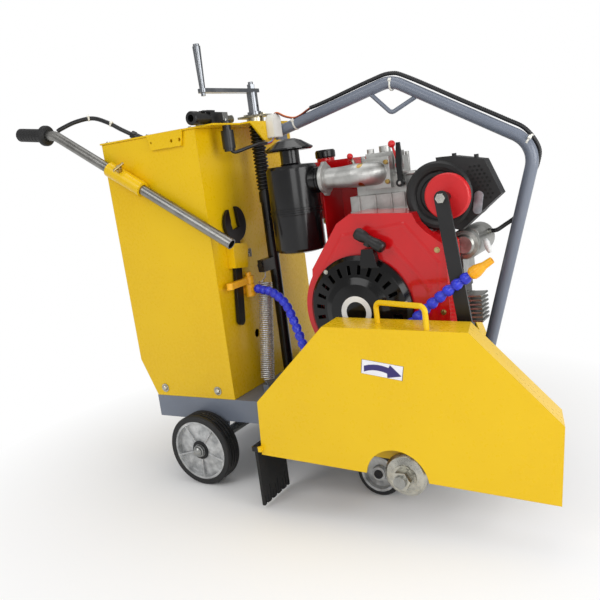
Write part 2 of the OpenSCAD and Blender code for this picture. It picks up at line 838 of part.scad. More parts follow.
// welded sheet guard: two plates, an edge band, a lifting handle and the flap's rod
// each point of an outline gives X, Z and how far its far end lies behind its near end
guard_line = [[140, 131, 0], [147, 255, 0], [331, 426, 6], [629, 416, 18], [784, 250, 18], [771, 99, 18]];
module leaning_slab(points, y0, y1) {
    n = len(points);
    deep = guard_back_y - guard_y;
    corners = [for (y = [y0, y1], p = points) [p[0] - p[2] * (y - guard_y) / deep, y, p[1]]];
    sides = [for (i = [0 : n - 1])
        let (j = (i + 1) % n)
        each [[i, n + i, n + j], [i, n + j, j]]];
    polyhedron(corners, concat([[for (i = [0 : n - 1]) i]], [[for (i = [n - 1 : -1 : 0]) n + i]], sides));
}
module guard_body() {
    inner = [[144, 90, 0], [144, 130, 0], [150.8, 253.2, 0], [332.6, 421.9, 6], [627.2, 412, 18],
        [779.8, 248.6, 18], [767, 101, 18], [767, 60, 18]];
    color([0.92, 0.78, 0.14])
    union() {
        difference() {
            leaning_slab(guard_line, guard_y, guard_back_y);
            leaning_slab(inner, guard_y + 4, guard_back_y - 4);
            bar_y(460, 106, guard_y - 5, guard_y + 5, 67);
            bar_y(arbor_x, arbor_z, guard_back_y - 10, guard_back_y + 10, 32 + fit);
        }
        translate([433, -280, 0])
            rotate([0, 0, -18.3])
                bent_bar([[0, 420.4], [0, 464], [121, 463], [121, 416.6]], 12, 5.5, 0);
        bar_y(128, 147, -336, -218, 4);
        for (y = [-338, -220])
            box([122, y, 141], [146, y + 4, 153]);
        box([141, -250, 141], [146, -218, 153]);
        box([141, -336, 141], [146, -326, 153]);
    }
}

// rubber splash flap hung on a rod behind the guard, with a cut lower edge
module mud_flap() {
    color([0.05, 0.05, 0.05])
    difference() {
        union() {
            bar_y(128, 147, -332, -222, 8);
            box([124.5, -332, 8], [131.5, -222, 147]);
        }
        bar_y(128, 147, -400, -200, 4 + fit);
        for (i = [0 : 9])
            box([120, -327 + i * 11, 0], [136, -324.6 + i * 11, 30 + 9 * (i % 3)]);
        for (i = [0 : 4])
            box([120, -324 + i * 22, 0], [136, -316.6 + i * 22, 12 + 4 * (i % 2)]);
    }
}

// two bearing blocks under the deck; the near one has the nose that carries the guard
module arbor_bearings() {
    color([0.25, 0.27, 0.30])
    for (s = [-1, 1])
        difference() {
            union() {
                box([arbor_x - 42, s * 155 - 20, 140], [arbor_x + 42, s * 155 + 20, deck_z - 5.2]);
                bar_y(arbor_x, arbor_z, s * 155 - 20, s * 155 + 20, 40);
                if (s < 0)
                    bar_y(arbor_x, arbor_z, guard_back_y - 5, -170, 32);
            }
            bar_y(arbor_x, arbor_z, -180, 180, 15 + fit);
            bar_y(arbor_x, arbor_z, -300, -174.9, 17.5);
        }
}

// grooved pulley outline for three belts
function pulley(r, bore, y) = concat([[bore, y - 17], [r, y - 17]],
    [for (g = [-10.5, 0, 10.5]) each [[r, y + g - 5], [r - 8, y + g - 2.6], [r - 8, y + g + 2.6],
        [r, y + g + 5]]],
    [[r, y + 17], [bore, y + 17]]);

// blade shaft with its fixed inner flange and belt pulley
module arbor_shaft() {
    color([0.60, 0.61, 0.63])
    union() {
        bar_y(arbor_x, arbor_z, -300, 256, 15);
        bar_y(arbor_x, arbor_z, -342, -299, 12.7);
        turned_y(arbor_x, arbor_z, [[0, -300], [flange_r, -300], [flange_r, -296], [28, -290],
            [28, -282], [0, -282]]);
        turned_y(arbor_x, arbor_z, pulley(50, 14, 238));
    }
}

// loose outer flange, washers and hexagon nut that clamp a blade
module blade_clamp() {
    color([0.70, 0.70, 0.70]) {
        turned_y(arbor_x, arbor_z, [[12.75, -300.2], [flange_r, -300.2], [flange_r, -304], [40, -308],
            [26, -312], [12.75, -312]]);
        turned_y(arbor_x, arbor_z, [[12.75, -312.2], [25, -312.2], [25, -315.5], [12.75, -315.5]]);
        turned_y(arbor_x, arbor_z, [[12.75, -315.7], [20.5, -315.7], [20.5, -318], [12.75, -318]]);
        difference() {
            translate([arbor_x, -318.2, arbor_z])
                rotate([90, 0, 0])
                    cylinder(r = 20.5, h = 17, $fn = 6);
            bar_y(arbor_x, arbor_z, -400, -300, 12.75);
        }
    }
}

// three drive belts between the engine and the blade shaft
module belts() {
    color([0.06, 0.06, 0.06])
    for (g = [-10.5, 0, 10.5])
        upright(238 + g - 2.8, 238 + g + 2.8)
            difference() {
                drive_outline(63, 51);
                drive_outline(57.5, 45.5);
            }
}

// sheet cover over the belts, screwed to the far rail
module belt_cover() {
    color([0.92, 0.78, 0.14])
    difference() {
        union() {
            difference() {
                upright(219, 262)
                    drive_outline(80, 68);
                upright(200, 259)
                    drive_outline(77, 65);
            }
            difference() {
                box([360, half_w + 0.3, 160], [505, half_w + 5.6, 202]);
                bar_y(arbor_x, arbor_z, 200, 222, 60);
            }
        }
        bar_y(shaft_x, shaft_z, 200, 222, 70);
    }
}

// folding guide arm of flat bar with the pivot bolt at its foot
module guide_arm() {
    d = unit(guide_tip - guide_pivot);
    n = [-d[1], d[0]] * 14;
    color([0.08, 0.08, 0.09])
    union() {
        slab([guide_pivot + n, guide_tip + n, guide_tip - n, guide_pivot - n], -224, -218.2);
        bar_y(guide_pivot[0], guide_pivot[1], -224, -218.2, 14);
        bar_y(guide_tip[0], guide_tip[1], -224, -218.2, 14);
        bar_y(guide_pivot[0], guide_pivot[1], -219, -205, 6);
        bar_y(guide_tip[0], guide_tip[1], -219, -171, 6);
        bar_y(guide_tip[0], guide_tip[1], -219, -191.4, 9);
        for (p = [guide_pivot, guide_tip])
            translate([p[0], -223.8, p[1]])
                rotate([90, 0, 0])
                    cylinder(r = 10, h = 7, $fn = 6);
        bar_y(guide_tip[0], guide_tip[1], -174.6, -170, 11);
    }
}

// moulded guide wheel, held off the arm on its long pin
module guide_wheel() {
    color([0.85, 0.10, 0.09])
    turned_y(guide_tip[0], guide_tip[1], [[6 + fit, -191], [42.5, -191], [45, -188.5], [45, -177.5],
        [42.5, -175], [6 + fit, -175]]);
}

// hollow crankcase and cylinder barrel with its cooling fins
module engine_block() {
    color([0.20, 0.20, 0.21])
    difference() {
        union() {
            box([250, -88, deck_z + 22], [515, 100, 470]);
            for (y = [-70, 66])
                box([236, y - 14, deck_z + 0.3], [528, y + 14, deck_z + 26]);
            bar_y(shaft_x, shaft_z, -88, 118, 70);
            box([320, -62, 465], [440, 56, 560]);
            for (i = [0 : 7])
                box([312, -70, 545 + i * 9], [448, 64, 549 + i * 9]);
            box([330, -50, 540], [430, 46, 619]);
            box([512, -60, 470 - 40], [530, 60, 470]);
        }
        bar_y(shaft_x, shaft_z, -100, 130, 14.5);
        box([262, -76, deck_z + 36], [503, 88, 458]);
    }
}

// crankshaft with the flywheel fan and the drive pulley
module crankshaft() {
    color([0.45, 0.46, 0.48])
    union() {
        bar_y(shaft_x, shaft_z, -160, 258, 14);
        turned_y(shaft_x, shaft_z, [[0, -160], [104, -160], [104, -128], [90, -122], [0, -122]]);
        turned_y(shaft_x, shaft_z, pulley(62, 13, 238));
    }
}

// pressed blower shroud around the flywheel, reaching up beside the cylinder
shroud_line = [[236, 232], [228, 330], [246, 520], [318, 616], [352, 635], [490, 626], [498, 605],
    [515, 586], [553, 556], [551, 400], [538, 232]];
module shroud_outline(inset) {
    offset_line = [for (p = shroud_line) p + inset * unit([390, 425] - p)];
    polygon(offset_line);
    translate([shaft_x, shaft_z])
        circle(136 - inset);
}
module shroud() {
    color([0.82, 0.09, 0.09])
    union() {
        difference() {
            upright(-186, -90)
                shroud_outline(0);
            upright(-182, -80)
                shroud_outline(4);
            bar_y(shaft_x, shaft_z, -200, -170, 100);
            bar_y(can_x, can_z, -156, -80, can_r + 3);
        }
        difference() {
            box([242, -90.5, 480], [304, 8, 700]);
            box([246, -100, 470], [310, 4, 696]);
            bar_x(-112, 712, 230, 310, 36);
        }
    }
}

// recoil starter cover with vent slots and a raised centre
module recoil_cover() {
    color([0.06, 0.06, 0.07])
    difference() {
        union() {
            turned_y(shaft_x, shaft_z, [[0, -190], [96, -190], [96, -186.3], [recoil_r, -186.3],
                [recoil_r, -194], [110, -204], [74, -208], [60, -214], [36, -216], [0, -216]]);
            slab([[370, 520], [412, 520], [405, 560], [379, 560]], -206, -188);
        }
        for (i = [0 : 23])
            translate([shaft_x, 0, shaft_z])
                rotate([0, i * 15 + 7.5, 0])
                    box([80, -230, -4], [100, -180, 4]);
        turned_y(shaft_x, shaft_z, [[0, -180], [66, -180], [66, -204], [0, -210]]);
    }
}

// pull handle of the recoil starter
module recoil_handle() {
    color([0.08, 0.08, 0.08])
    translate([400, -206, 579])
        rotate([0, 32, 0])
            union() {
                translate([-34, 0, 0])
                    rotate([0, 90, 0])
                        rotate_extrude()
                            polygon([[0, 0], [10, 0], [13, 5], [13, 18], [10, 30], [10, 40], [12.5, 54],
                                [12, 66], [9, 70], [0, 70]]);
                bar_z(0, 0, -13, 0, 8);
            }
}

// cylinder head, rocker cover and intake elbow castings
module cylinder_head() {
    color([0.68, 0.69, 0.70])
    union() {
        box([307, -80, 625.5], [446, 70, 664]);
        box([306, -84, 625.5], [447, 74, 631]);
        for (x = [326, 366, 404, 434])
            box([x, -84, 626], [x + 5, 74, 664]);
        box([322, -70, 660], [440, 60, 700]);
        box([334, -58, 698], [416, 26, 742]);
        box([330, -62, 698], [420, 30, 703]);
        box([342, -50, 741], [408, 18, 754]);
        bar_z(376, -16, 753, 768, 13);
        bar_z(350, -38, 753, 764, 8);
        for (x = [337, 413], y = [-54, 22])
            bar_z(x, y, 702, 750, 5);
        box([412, -58, 712], [434, -44, 732]);
        bar_z(404, -66, 690, 738, 7);
        bar_z(404, -66, 700, 712, 10);
        bar_x(-62, 702, 404, 462, 5);
        bar_x(-112, 712, 264, 340, 22);
        bar_x(-112, 712, 262.4, 271, 33);
        bar_x(-112, 684, 262.4, 271, 10);
        bar_x(-112, 740, 262.4, 271, 10);
        translate([296, -112, 711])
            rotate([0, 90, 0])
                cylinder(r1 = 22, r2 = 25.5, h = 44.2);
        translate([340, -70, 711])
            rotate_extrude_quarter(42, 25.5);
        box([352, -88, 676], [412, -66, 744]);
        bar_y(424, 722, -68, -50, 3);
        bar_y(431, 684, -86, -60, 3.5);
        for (p = [[358, 690], [406, 690], [358, 732], [406, 732]])
            bar_y(p[0], p[1], -94, -80, 5);
    }
}
// quarter bend in the plan view, from along X to along Y
module rotate_extrude_quarter(bend, r) {
    rotate([0, 0, -90])
        rotate_extrude(angle = 90)
            translate([bend, 0])
                circle(r);
}

// air cleaner can with bands, neck and rain cap
module air_cleaner() {
    x = 182;
    y = -112;
    color([0.08, 0.08, 0.09])
    union() {
        translate([x, y, 0])
            rotate_extrude()
                polygon([[0, 552], [40, 552], [56, 556], [59, 562], [59, 640], [61, 641], [61, 645],
                    [59, 646], [59, 650], [61, 651], [61, 655], [59, 656], [59, 744], [54, 751],
                    [24, 753], [22, 756], [22, 788], [0, 788]]);
        translate([x, y, 0])
            rotate_extrude()
                polygon([[0, 784], [50, 784], [55, 787], [55, 790], [30, 806], [16, 811], [0, 812]]);
        translate([x + 50, y, 712])
            rotate([0, 90, 0])
                rotate_extrude()
                    polygon([[0, 0], [27, 0], [27, 14], [29, 15], [29, 18], [26.5, 19], [26.5, 21],
                        [29, 22], [29, 25], [26, 26], [26, 30], [0, 30]]);
    }
}

// pressed fuel tank beside the cylinder head
module fuel_tank() {
    color([0.80, 0.09, 0.09])
    difference() {
        union() {
            box([118, 14, 614], [268, 150, 752]);
            box([112, 20, 620], [272.5, 144, 746]);
            bar_z(188, 52, 750, 760, 22);
        }
        box([121, 17, 617], [265, 147, 749]);
        box([115, 23, 623], [269.5, 141, 743]);
        bar_z(188, 52, 738, 768, 17);
    }
    color([0.20, 0.20, 0.21])
    box([236, 66, 470.3], [272, 98, 613.6]);
}

// screw cap of the fuel tank
module fuel_cap() {
    color([0.06, 0.06, 0.07])
    translate([188, 52, 0])
        rotate_extrude()
            polygon([[0, 760.4], [24, 760.4], [25, 763], [25, 776], [22, 780], [0, 781]]);
}

// silencer can with pressed rings in its near end, its inlet pipe and the folded hood beside it
module muffler() {
    rim = [[536, 728], [572, 727], [632, 714], [660, 645], [577, 579], [550, 586]];
    inside = [[540, 724.6], [571.6, 723.6], [629.7, 711.1], [656.2, 645.5], [576.3, 582.8], [556, 589]];
    color([0.08, 0.08, 0.08])
    difference() {
        union() {
            turned_y(can_x, can_z, [[0, -144], [22, -144], [27, -148], [36, -148], [40, -144],
                [47, -144], [51, -149], [58, -152], [65, -152], [can_r, -147], [can_r, 34], [64, 40],
                [0, 40]]);
            bar_x(0, 660, 447.6, 480, 20);
            difference() {
                slab(rim, -146, -110);
                slab(inside, -143, -100);
            }
            upright(-148, -143)
                union() {
                    translate([617, 645])
                        circle(9);
                    translate([612, 618])
                        circle(9);
                    polygon([[608, 645], [626, 645], [621, 618], [603, 618]]);
                }
            bar_z(569.5, -130, 722, 732, 4.5);
            bar_z(613.4, -130, 714, 725, 4.5);
        }
        turned_y(can_x, can_z, [[0, -140], [62, -140], [66, -136], [66, 32], [62, 37], [0, 37]]);
        bar_x(0, 660, 440, 500, 17);
    }
}

// starter motor with its switch, and the finned charging regulator on its bracket
module starter_motor() {
    color([0.52, 0.53, 0.54])
    union() {
        turned_y(560, 541, [[0, -88], [18, -88], [22, -84], [30, -82], [33, -74], [33, 44], [12, 46],
            [12, 62], [0, 62]]);
        bar_y(572, 556, -70, 30, 17);
        bar_x(8, 556, 585, 596, 6);
        box([506, -50, 470.3], [545, 36, 530]);
    }
    color([0.66, 0.67, 0.68])
    union() {
        box([554, -104, 376], [566, -52, 436]);
        for (i = [0 : 6])
            box([566, -104, 378 + i * 9], [592, -52, 381.4 + i * 9]);
        box([530.4, -70, 432], [556, -58, 438]);
        for (i = [0 : 6])
            bar_y(592, 379.7 + i * 9, -104, -52, 2.4);
    }
}

// decompression lever with its red ball
module decompression_lever() {
    color([0.85, 0.08, 0.08])
    difference() {
        union() {
            bar_y(424, 722, -66, -60, 7);
            translate([424, -63, 722])
                rotate([0, -14, 0]) {
                    bar_z(0, 0, 3, 44, 2.6);
                    translate([0, 0, 48])
                        sphere(r = 8);
                }
        }
        bar_y(424, 722, -80, -40, 3 + fit);
    }
}

// engine speed lever on the side of the head
module speed_lever() {
    color([0.07, 0.07, 0.08])
    difference() {
        union() {
            bar_y(431, 684, -84, -76, 9);
            translate([431, -80, 684])
                rotate([0, 2, 0])
                    slab([[-5, 0], [-7, 50], [-4, 86], [4, 86], [7, 50], [5, 0]], -3, 3);
        }
        bar_y(431, 684, -100, -60, 3.5 + fit);
    }
}

// throttle cable in its outer sleeve, arched over from the near grip to the top plate
module throttle_cable() {
    route = spline(cable_points, 6);
    color([0.05, 0.05, 0.06])
    swept(route, [for (q = route) cable_r], 8, up = [0, 0, 1]);
}

// slanted screw gland on the top plate
module cable_gland() {
    d = unit(gland_out - gland_foot);
    run = norm(gland_out - gland_foot);
    color([0.07, 0.07, 0.08])
    difference() {
        union() {
            bar_z(gland_foot[0], gland_foot[1], tank_top + 4.5, tank_top + 12, 15);
            translate(gland_foot)
                rotate([0, acos(d[2]), atan2(d[1], d[0])]) {
                    cylinder(r = 9, h = run - 12);
                    translate([0, 0, run - 12.3])
                        cylinder(r = 11, h = 12, $fn = 6);
                }
        }
        box([-400, -200, tank_top - 40], [-100, 0, tank_top + 4.5]);
    }
}

module placed() {
    translate(-origin)
        children();
}

placed() deck_frame();
placed() tank_body();
placed() top_panel();
placed() tank_bolts();
placed() handle_tube_near();
placed() handle_tube_far();
placed() grip_near();
placed() grip_far();
placed() clamp_screw_near();
placed() clamp_screw_far();
placed() inlet_valve();
placed() inlet_lever();
placed() key_switch();
placed() switch_key();
placed() wire_cover();
placed() hoop();
placed() cable_loom();
placed() crank();
placed() crank_grip();
placed() screw_bearing();
placed() lift_tube();
placed() bellows();
placed() lift_spring();
placed() swing_frame();
placed() rear_axle();
placed() rear_wheel_near();
placed() rear_wheel_far();
placed() front_wheel_near();
placed() front_wheel_far();
placed() spanner();
placed() spanner_holder();
placed() water_valve();
placed() valve_lever();
placed() hose_supply();
placed() hose_front();
placed() hose_nozzle();
placed() guard_body();
placed() mud_flap();
placed() arbor_bearings();
placed() arbor_shaft();
placed() blade_clamp();
placed() belts();
placed() belt_cover();
placed() guide_arm();
placed() guide_wheel();
placed() engine_block();
placed() crankshaft();
placed() shroud();
placed() recoil_cover();
placed() recoil_handle();
placed() cylinder_head();
placed() air_cleaner();
placed() fuel_tank();
placed() fuel_cap();
placed() muffler();
placed() starter_motor();
placed() decompression_lever();
placed() speed_lever();
placed() throttle_cable();
placed() cable_gland();
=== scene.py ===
import math

import bmesh
import bpy
from mathutils import Matrix, Vector


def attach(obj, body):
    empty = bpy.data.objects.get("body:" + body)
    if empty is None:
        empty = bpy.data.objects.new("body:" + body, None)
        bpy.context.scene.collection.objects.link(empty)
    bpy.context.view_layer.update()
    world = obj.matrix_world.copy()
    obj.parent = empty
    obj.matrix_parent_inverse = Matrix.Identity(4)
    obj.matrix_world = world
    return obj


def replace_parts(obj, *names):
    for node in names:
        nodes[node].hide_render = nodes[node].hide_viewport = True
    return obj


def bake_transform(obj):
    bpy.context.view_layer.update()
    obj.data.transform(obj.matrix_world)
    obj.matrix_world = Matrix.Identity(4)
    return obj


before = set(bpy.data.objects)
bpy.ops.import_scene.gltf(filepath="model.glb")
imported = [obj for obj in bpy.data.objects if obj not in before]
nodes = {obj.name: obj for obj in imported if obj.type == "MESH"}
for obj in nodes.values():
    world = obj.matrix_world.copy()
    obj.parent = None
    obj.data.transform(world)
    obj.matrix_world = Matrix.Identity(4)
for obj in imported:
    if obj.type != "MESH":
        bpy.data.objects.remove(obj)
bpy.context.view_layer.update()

# Camera: a moderate lens at handle height, looking at the guard side from the front quarter.
# Sizes in this file are in millimetres from the tank's front face, the machine's middle plane
# and the floor.
ORIGIN = Vector((110.25, -30.3, 0.0))


def place(x, y, z):
    """A point in millimetres, given in the frame's metres."""
    return (Vector((x, y, z)) - ORIGIN) / 1000.0


view_right = Vector((0.861545, 0.491639, -0.126615))
view_down = Vector((-0.016383, -0.222346, -0.974830))
view_ahead = Vector((-0.507416, 0.841934, -0.183507))
focal_pixels, picture_pixels = 680.0, 600.0
camera_data = bpy.data.cameras.new("camera")
camera_data.sensor_width = 36.0
camera_data.lens = focal_pixels * camera_data.sensor_width / picture_pixels
camera_data.clip_start, camera_data.clip_end = 0.05, 60.0
camera = bpy.data.objects.new("camera", camera_data)
bpy.context.scene.collection.objects.link(camera)
turn = Matrix((view_right, -view_down, -view_ahead)).transposed().to_4x4()
camera.matrix_world = Matrix.Translation(place(987.43, -1485.61, 734.16)) @ turn
bpy.context.scene.camera = camera
bpy.context.scene.view_settings.view_transform = "Standard"


# Throttle cable: a black plastic-sleeved control cable from the near twist grip to the gland on the
# top plate. The sleeve is extruded polyamide, stiff enough to keep its arch; two white nylon ties
# are pulled tight on it.
def ink(code):
    """sRGB hex to linear colour."""
    parts = [int(code[i:i + 2], 16) / 255.0 for i in (1, 3, 5)]
    return tuple(c / 12.92 if c <= 0.04045 else ((c + 0.055) / 1.055) ** 2.4 for c in parts) + (1.0,)


def add(tree, kind, values=None, links=None, **settings):
    """Adds one node with its settings, socket values and incoming links."""
    node = tree.nodes.new(kind)
    for key, value in settings.items():
        setattr(node, key, value)
    for key, value in (values or {}).items():
        node.inputs[key].default_value = value
    for key, source in (links or {}).items():
        tree.links.new(source, node.inputs[key])
    return node


def look(light, dark, rough, metal=0.0, patch=120.0, grain=2.0, depth=0.04, stretch=(1, 1, 1), only=None):
    """One finish: two tones that drift over patch mm, and a grain so many mm wide and deep.
    stretch draws the grain out into streaks; only says where on the piece the finish lies."""
    return dict(light=light, dark=dark, rough=rough, metal=metal, patch=patch, grain=grain, depth=depth,
                stretch=stretch, only=only)


def region(tree, where, only):
    """A 0 to 1 mask on Object coordinates: past a plane, on round spots, or outside or in a ring about
    a crosswise axis at an X, Z point. Spots and rings lie only on the near side of a plane."""
    kind = only[0]
    if kind == "past":
        _, point, way, distance = only
        edge = distance / 1000.0
        out = add(tree, "ShaderNodeVectorMath", {1: place(*point)}, {0: where}, operation="SUBTRACT")
        along = add(tree, "ShaderNodeVectorMath", {1: way}, {0: out.outputs[0]}, operation="DOT_PRODUCT")
        return add(tree, "ShaderNodeMapRange", {"From Min": edge - 0.0001, "From Max": edge + 0.0001},
                   {"Value": along.outputs["Value"]}).outputs["Result"]
    if kind == "spots":
        _, spots, front_y = only
        masks = [region(tree, where, ("ring", (x, z), -1.0, radius, front_y)) for x, z, radius in spots]
        while len(masks) > 1:
            masks.append(add(tree, "ShaderNodeMath", links={0: masks.pop(0), 1: masks.pop(0)},
                             operation="MAXIMUM").outputs[0])
        return masks[0]
    x, z = only[1]
    centre = place(x, 0.0, z)
    least = only[2] / 1000.0
    out = add(tree, "ShaderNodeVectorMath", {1: (centre.x, 0.0, centre.z)}, {0: where}, operation="SUBTRACT")
    flat = add(tree, "ShaderNodeVectorMath", {1: (1.0, 0.0, 1.0)}, {0: out.outputs[0]}, operation="MULTIPLY")
    far = add(tree, "ShaderNodeVectorMath", links={0: flat.outputs[0]}, operation="LENGTH").outputs["Value"]
    outer = add(tree, "ShaderNodeMapRange", {"From Min": least - 0.0002, "From Max": least},
                {"Value": far}).outputs["Result"]
    if kind == "outside":
        return outer
    most, front_y = only[3] / 1000.0, only[4]
    inner = add(tree, "ShaderNodeMapRange",
                {"From Min": most, "From Max": most + 0.0002, "To Min": 1.0, "To Max": 0.0},
                {"Value": far}).outputs["Result"]
    both = add(tree, "ShaderNodeMath", links={0: outer, 1: inner}, operation="MULTIPLY").outputs[0]
    front = region(tree, where, ("past", (0.0, front_y, 0.0), (0.0, -1.0, 0.0), 0.0))
    return add(tree, "ShaderNodeMath", links={0: both, 1: front}, operation="MULTIPLY").outputs[0]


def pressed(tree, where, height, crease):
    """Adds one pressed line to a height: from one X, Z point to another, so wide and so deep."""
    x0, z0, x1, z1, wide, deep = crease
    start = place(x0, 0, z0)
    run = place(x1, 0, z1) - start
    out = add(tree, "ShaderNodeVectorMath", {1: (start.x, 0, start.z)}, {0: where},
              operation="SUBTRACT").outputs[0]
    share = add(tree, "ShaderNodeVectorMath", {1: run / run.length_squared}, {0: out},
                operation="DOT_PRODUCT").outputs["Value"]
    share = add(tree, "ShaderNodeClamp", links={0: share}).outputs[0]
    foot = add(tree, "ShaderNodeVectorMath", {0: run}, {"Scale": share}, operation="SCALE").outputs[0]
    gap = add(tree, "ShaderNodeVectorMath", links={0: out, 1: foot}, operation="SUBTRACT").outputs[0]
    gap = add(tree, "ShaderNodeVectorMath", {1: (1, 0, 1)}, {0: gap}, operation="MULTIPLY").outputs[0]
    gap = add(tree, "ShaderNodeVectorMath", links={0: gap}, operation="LENGTH").outputs["Value"]
    fold = add(tree, "ShaderNodeMapRange",
               {"From Min": 0.0, "From Max": wide / 1000.0, "To Min": deep, "To Max": 0.0},
               {"Value": gap}, interpolation_type="SMOOTHSTEP").outputs["Result"]
    return add(tree, "ShaderNodeMath", links={0: height, 1: fold}, operation="ADD").outputs[0]


def finish(name, *looks, edge=0.8, edge_wear_and_sheen=None, creases=(), **shader):
    """A material from one or more looks, each lying over the one before it where its mask says.
    edge rounds the look of hard corners by so many mm; the edge colour is laid in spots on those corners:
    wear on most finishes, dust and a painted highlight on the rear wheels."""
    material = bpy.data.materials.new(name)
    material.use_nodes = True
    tree = material.node_tree
    tree.nodes.clear()
    where = add(tree, "ShaderNodeTexCoord").outputs["Object"]
    colour = rough = metal = height = None
    for one in looks:
        patch = add(tree, "ShaderNodeTexNoise",
                    {"Scale": 1000.0 / one["patch"], "Detail": 4.0, "Roughness": 0.6},
                    {"Vector": where}).outputs["Fac"]
        tone = add(tree, "ShaderNodeValToRGB", links={"Fac": patch})
        stops = zip(tone.color_ramp.elements, (0.3, 0.7), (one["dark"], one["light"]))
        for stop, at, code in stops:
            stop.position = at
            stop.color = ink(code)
        drawn = add(tree, "ShaderNodeMapping", {"Scale": one["stretch"]}, {"Vector": where}).outputs["Vector"]
        grain = add(tree, "ShaderNodeTexNoise", {"Scale": 1000.0 / one["grain"], "Detail": 2.0},
                    {"Vector": drawn}).outputs["Fac"]
        shine = add(tree, "ShaderNodeMath", links={0: patch, 1: grain}, operation="MULTIPLY").outputs[0]
        dull = add(tree, "ShaderNodeMapRange",
                   {"From Min": 0.15, "From Max": 0.38, "To Min": one["rough"] * 0.82,
                    "To Max": min(1.0, one["rough"] * 1.22)}, {"Value": shine}).outputs["Result"]
        rise = add(tree, "ShaderNodeMath", {1: one["depth"]}, {0: grain}, operation="MULTIPLY").outputs[0]
        if colour is None:
            colour, rough, metal, height = tone.outputs["Color"], dull, one["metal"], rise
            continue
        mask = region(tree, where, one["only"])
        colour = add(tree, "ShaderNodeMix", links={0: mask, 6: colour, 7: tone.outputs["Color"]},
                     data_type="RGBA").outputs[2]
        rough = add(tree, "ShaderNodeMix", links={0: mask, 2: rough, 3: dull},
                    data_type="FLOAT").outputs[0]
        height = add(tree, "ShaderNodeMix", links={0: mask, 2: height, 3: rise},
                     data_type="FLOAT").outputs[0]
        step = add(tree, "ShaderNodeMix", {3: one["metal"]}, {0: mask}, data_type="FLOAT")
        if isinstance(metal, float):
            step.inputs[2].default_value = metal
        else:
            tree.links.new(metal, step.inputs[2])
        metal = step.outputs[0]
    for crease in creases:
        height = pressed(tree, where, height, crease)
    corner = add(tree, "ShaderNodeBevel", {"Radius": edge / 1000.0}, samples=4).outputs["Normal"]
    # Spots of the edge colour on hard corners: wear on most finishes; on the rear wheels dust with a painted
    # highlight.
    if edge_wear_and_sheen:
        true = add(tree, "ShaderNodeNewGeometry").outputs["Normal"]
        flush = add(tree, "ShaderNodeVectorMath", links={0: corner, 1: true},
                    operation="DOT_PRODUCT").outputs["Value"]
        edge_band = add(tree, "ShaderNodeMapRange", {"From Min": 0.97, "From Max": 0.86},
                   {"Value": flush}).outputs["Result"]
        spot_noise = add(tree, "ShaderNodeTexNoise", {"Scale": 60.0, "Detail": 3.0},
                     {"Vector": where}).outputs["Fac"]
        spots = add(tree, "ShaderNodeMapRange", {"From Min": 0.5, "From Max": 0.68, "To Max": 0.75},
                    {"Value": spot_noise}).outputs["Result"]
        chips_and_sheen = add(tree, "ShaderNodeMath", links={0: edge_band, 1: spots}, operation="MULTIPLY").outputs[0]
        colour = add(tree, "ShaderNodeMix", {7: ink(edge_wear_and_sheen)}, {0: chips_and_sheen, 6: colour},
                     data_type="RGBA").outputs[2]
    bump = add(tree, "ShaderNodeBump", {"Strength": 0.7, "Distance": 0.001},
               {"Height": height, "Normal": corner})
    surface = add(tree, "ShaderNodeBsdfPrincipled", shader,
                  {"Base Color": colour, "Roughness": rough, "Normal": bump.outputs["Normal"]})
    if isinstance(metal, float):
        surface.inputs["Metallic"].default_value = metal
    else:
        tree.links.new(metal, surface.inputs["Metallic"])
    add(tree, "ShaderNodeOutputMaterial", links={"Surface": surface.outputs["BSDF"]})
    return material


def smooth_line(points, steps):
    """Curve through given points, the same rule as the solid's."""
    points = [Vector(p) for p in points]
    line = []
    for i in range(len(points) - 1):
        a, b, c = points[max(i - 1, 0)], points[i], points[i + 1]
        d = points[min(i + 2, len(points) - 1)]
        for k in range(steps + (1 if i == len(points) - 2 else 0)):
            t = k / steps
            line.append(0.5 * (2 * b + (c - a) * t + (2 * a - 5 * b + 4 * c - d) * t * t
                               + (3 * b - a - 3 * c + d) * t * t * t))
    return [place(*p) for p in line]


def settle(mesh, name):
    """Keeps a finished edit mesh as mesh data."""
    data = bpy.data.meshes.new(name)
    mesh.to_mesh(data)
    mesh.free()
    return data


def new_piece(mesh, material, body, smooth=True):
    """A piece with its mesh's name, riding on a body when one is given."""
    piece = bpy.data.objects.new(mesh.name, mesh)
    bpy.context.scene.collection.objects.link(piece)
    mesh.materials.clear()
    mesh.materials.append(material)
    mesh.polygons.foreach_set("use_smooth", [smooth] * len(mesh.polygons))
    if body:
        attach(piece, body)
    return piece


def tube(name, line, radii, sides):
    """Round tube swept along a line without twist, with a radius in mm for each point of the line."""
    mesh = bmesh.new()
    rings = []
    side = (line[1] - line[0]).normalized().orthogonal().normalized()
    for i, (point, radius) in enumerate(zip(line, radii)):
        heading = (line[min(i + 1, len(line) - 1)] - line[max(i - 1, 0)]).normalized()
        side = (side - heading * side.dot(heading)).normalized()
        other = heading.cross(side)
        turns = [2 * math.pi * k / sides for k in range(sides)]
        rings.append([mesh.verts.new(point + radius / 1000.0 * (math.cos(a) * side + math.sin(a) * other))
                      for a in turns])
    for a, b in zip(rings, rings[1:]):
        for k in range(sides):
            mesh.faces.new((a[k], a[(k + 1) % sides], b[(k + 1) % sides], b[k]))
    mesh.faces.new(list(reversed(rings[0])))
    mesh.faces.new(rings[-1])
    return settle(mesh, name)


